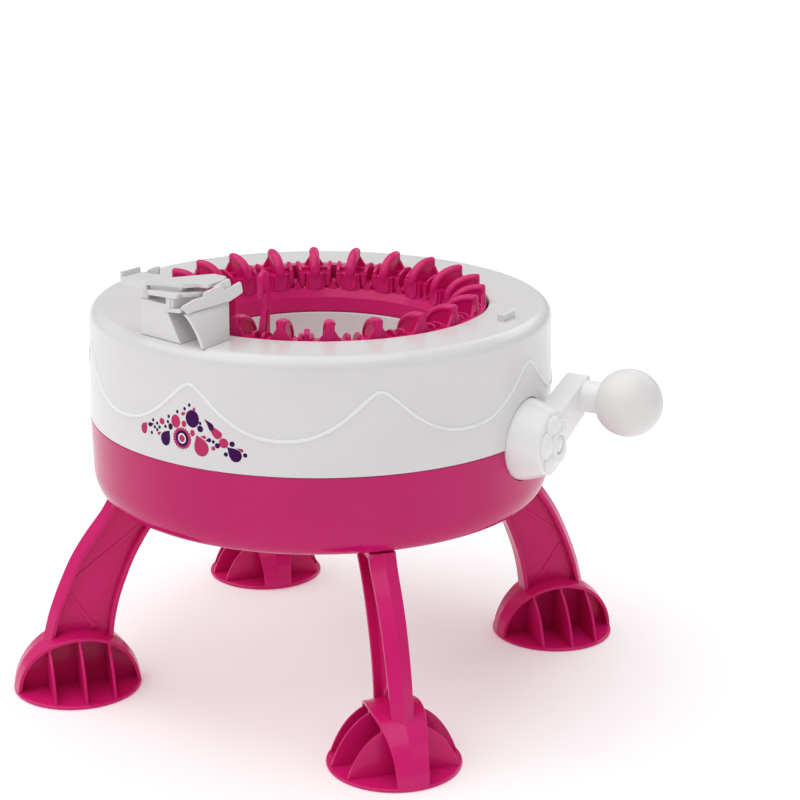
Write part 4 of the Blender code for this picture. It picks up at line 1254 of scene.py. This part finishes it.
def add_area(name, place, target, size, watts):
    data = bpy.data.lights.new(name, "AREA")
    data.shape = "RECTANGLE"
    data.size = size[0]
    data.size_y = size[1]
    data.energy = watts
    obj = bpy.data.objects.new(name, data)
    obj.location = place
    obj.rotation_euler = (Vector(target) - Vector(place)).to_track_quat("-Z", "Y").to_euler()
    bpy.context.scene.collection.objects.link(obj)


def add_floor():
    mesh = bpy.data.meshes.new("studio_floor")
    half = 6.0
    corners = [(-half, -half, 0), (half, -half, 0), (half, half, 0), (-half, half, 0)]
    mesh.from_pydata(corners, [], [(0, 1, 2, 3)])
    mesh.materials.append(floor_surface())
    obj = bpy.data.objects.new("studio_floor", mesh)
    bpy.context.scene.collection.objects.link(obj)


def add_camera():
    """Camera between the printed front and the crank, above the rim, with a long lens."""
    forward = Vector(CAMERA_FORWARD).normalized()
    right = Vector(CAMERA_RIGHT).normalized()
    up = right.cross(forward)
    side = right * math.cos(CAMERA_ROLL) + up * math.sin(CAMERA_ROLL)
    top = -right * math.sin(CAMERA_ROLL) + up * math.cos(CAMERA_ROLL)
    data = bpy.data.cameras.new("camera")
    data.sensor_width = 36.0
    data.lens = CAMERA_LENS
    data.clip_end = 50.0
    obj = bpy.data.objects.new("camera", data)
    place = Vector(CAMERA_PLACE) * MM + Vector((AXIS_X, 0.0, 0.0))
    rotation = Matrix((side, top, -forward)).transposed()
    obj.matrix_world = Matrix.Translation(place) @ rotation.to_4x4()
    bpy.context.scene.collection.objects.link(obj)
    bpy.context.scene.camera = obj


def light_studio():
    scene = bpy.context.scene
    scene.view_settings.view_transform = "Standard"
    world = bpy.data.worlds.new("studio")
    world.use_nodes = True
    sky = world.node_tree.nodes["Background"]
    sky.inputs["Color"].default_value = (1.0, 1.0, 1.0, 1.0)
    sky.inputs["Strength"].default_value = 0.41
    scene.world = world

    ceiling = bpy.data.lights.new("ceiling", "SUN")
    ceiling.energy = 1.95
    ceiling.angle = math.radians(80.0)
    overhead = bpy.data.objects.new("ceiling", ceiling)
    overhead.rotation_euler = Vector((0.24, 0.22, -1.0)).to_track_quat("-Z", "Y").to_euler()
    scene.collection.objects.link(overhead)

    middle_point = (0.0, 0.0, 0.12)
    add_area("left_softbox", (-1.2, -0.5, 0.7), middle_point, (0.35, 1.1), 0.25)
    add_area("right_softbox", (1.2, -0.1, 0.6), middle_point, (0.35, 1.0), 0.6)
    add_area("back_softbox", (0.2, 1.4, 1.0), middle_point, (1.4, 0.5), 2.5)


build_machine()
dress_inner_parts()
add_floor()
add_camera()
light_studio()
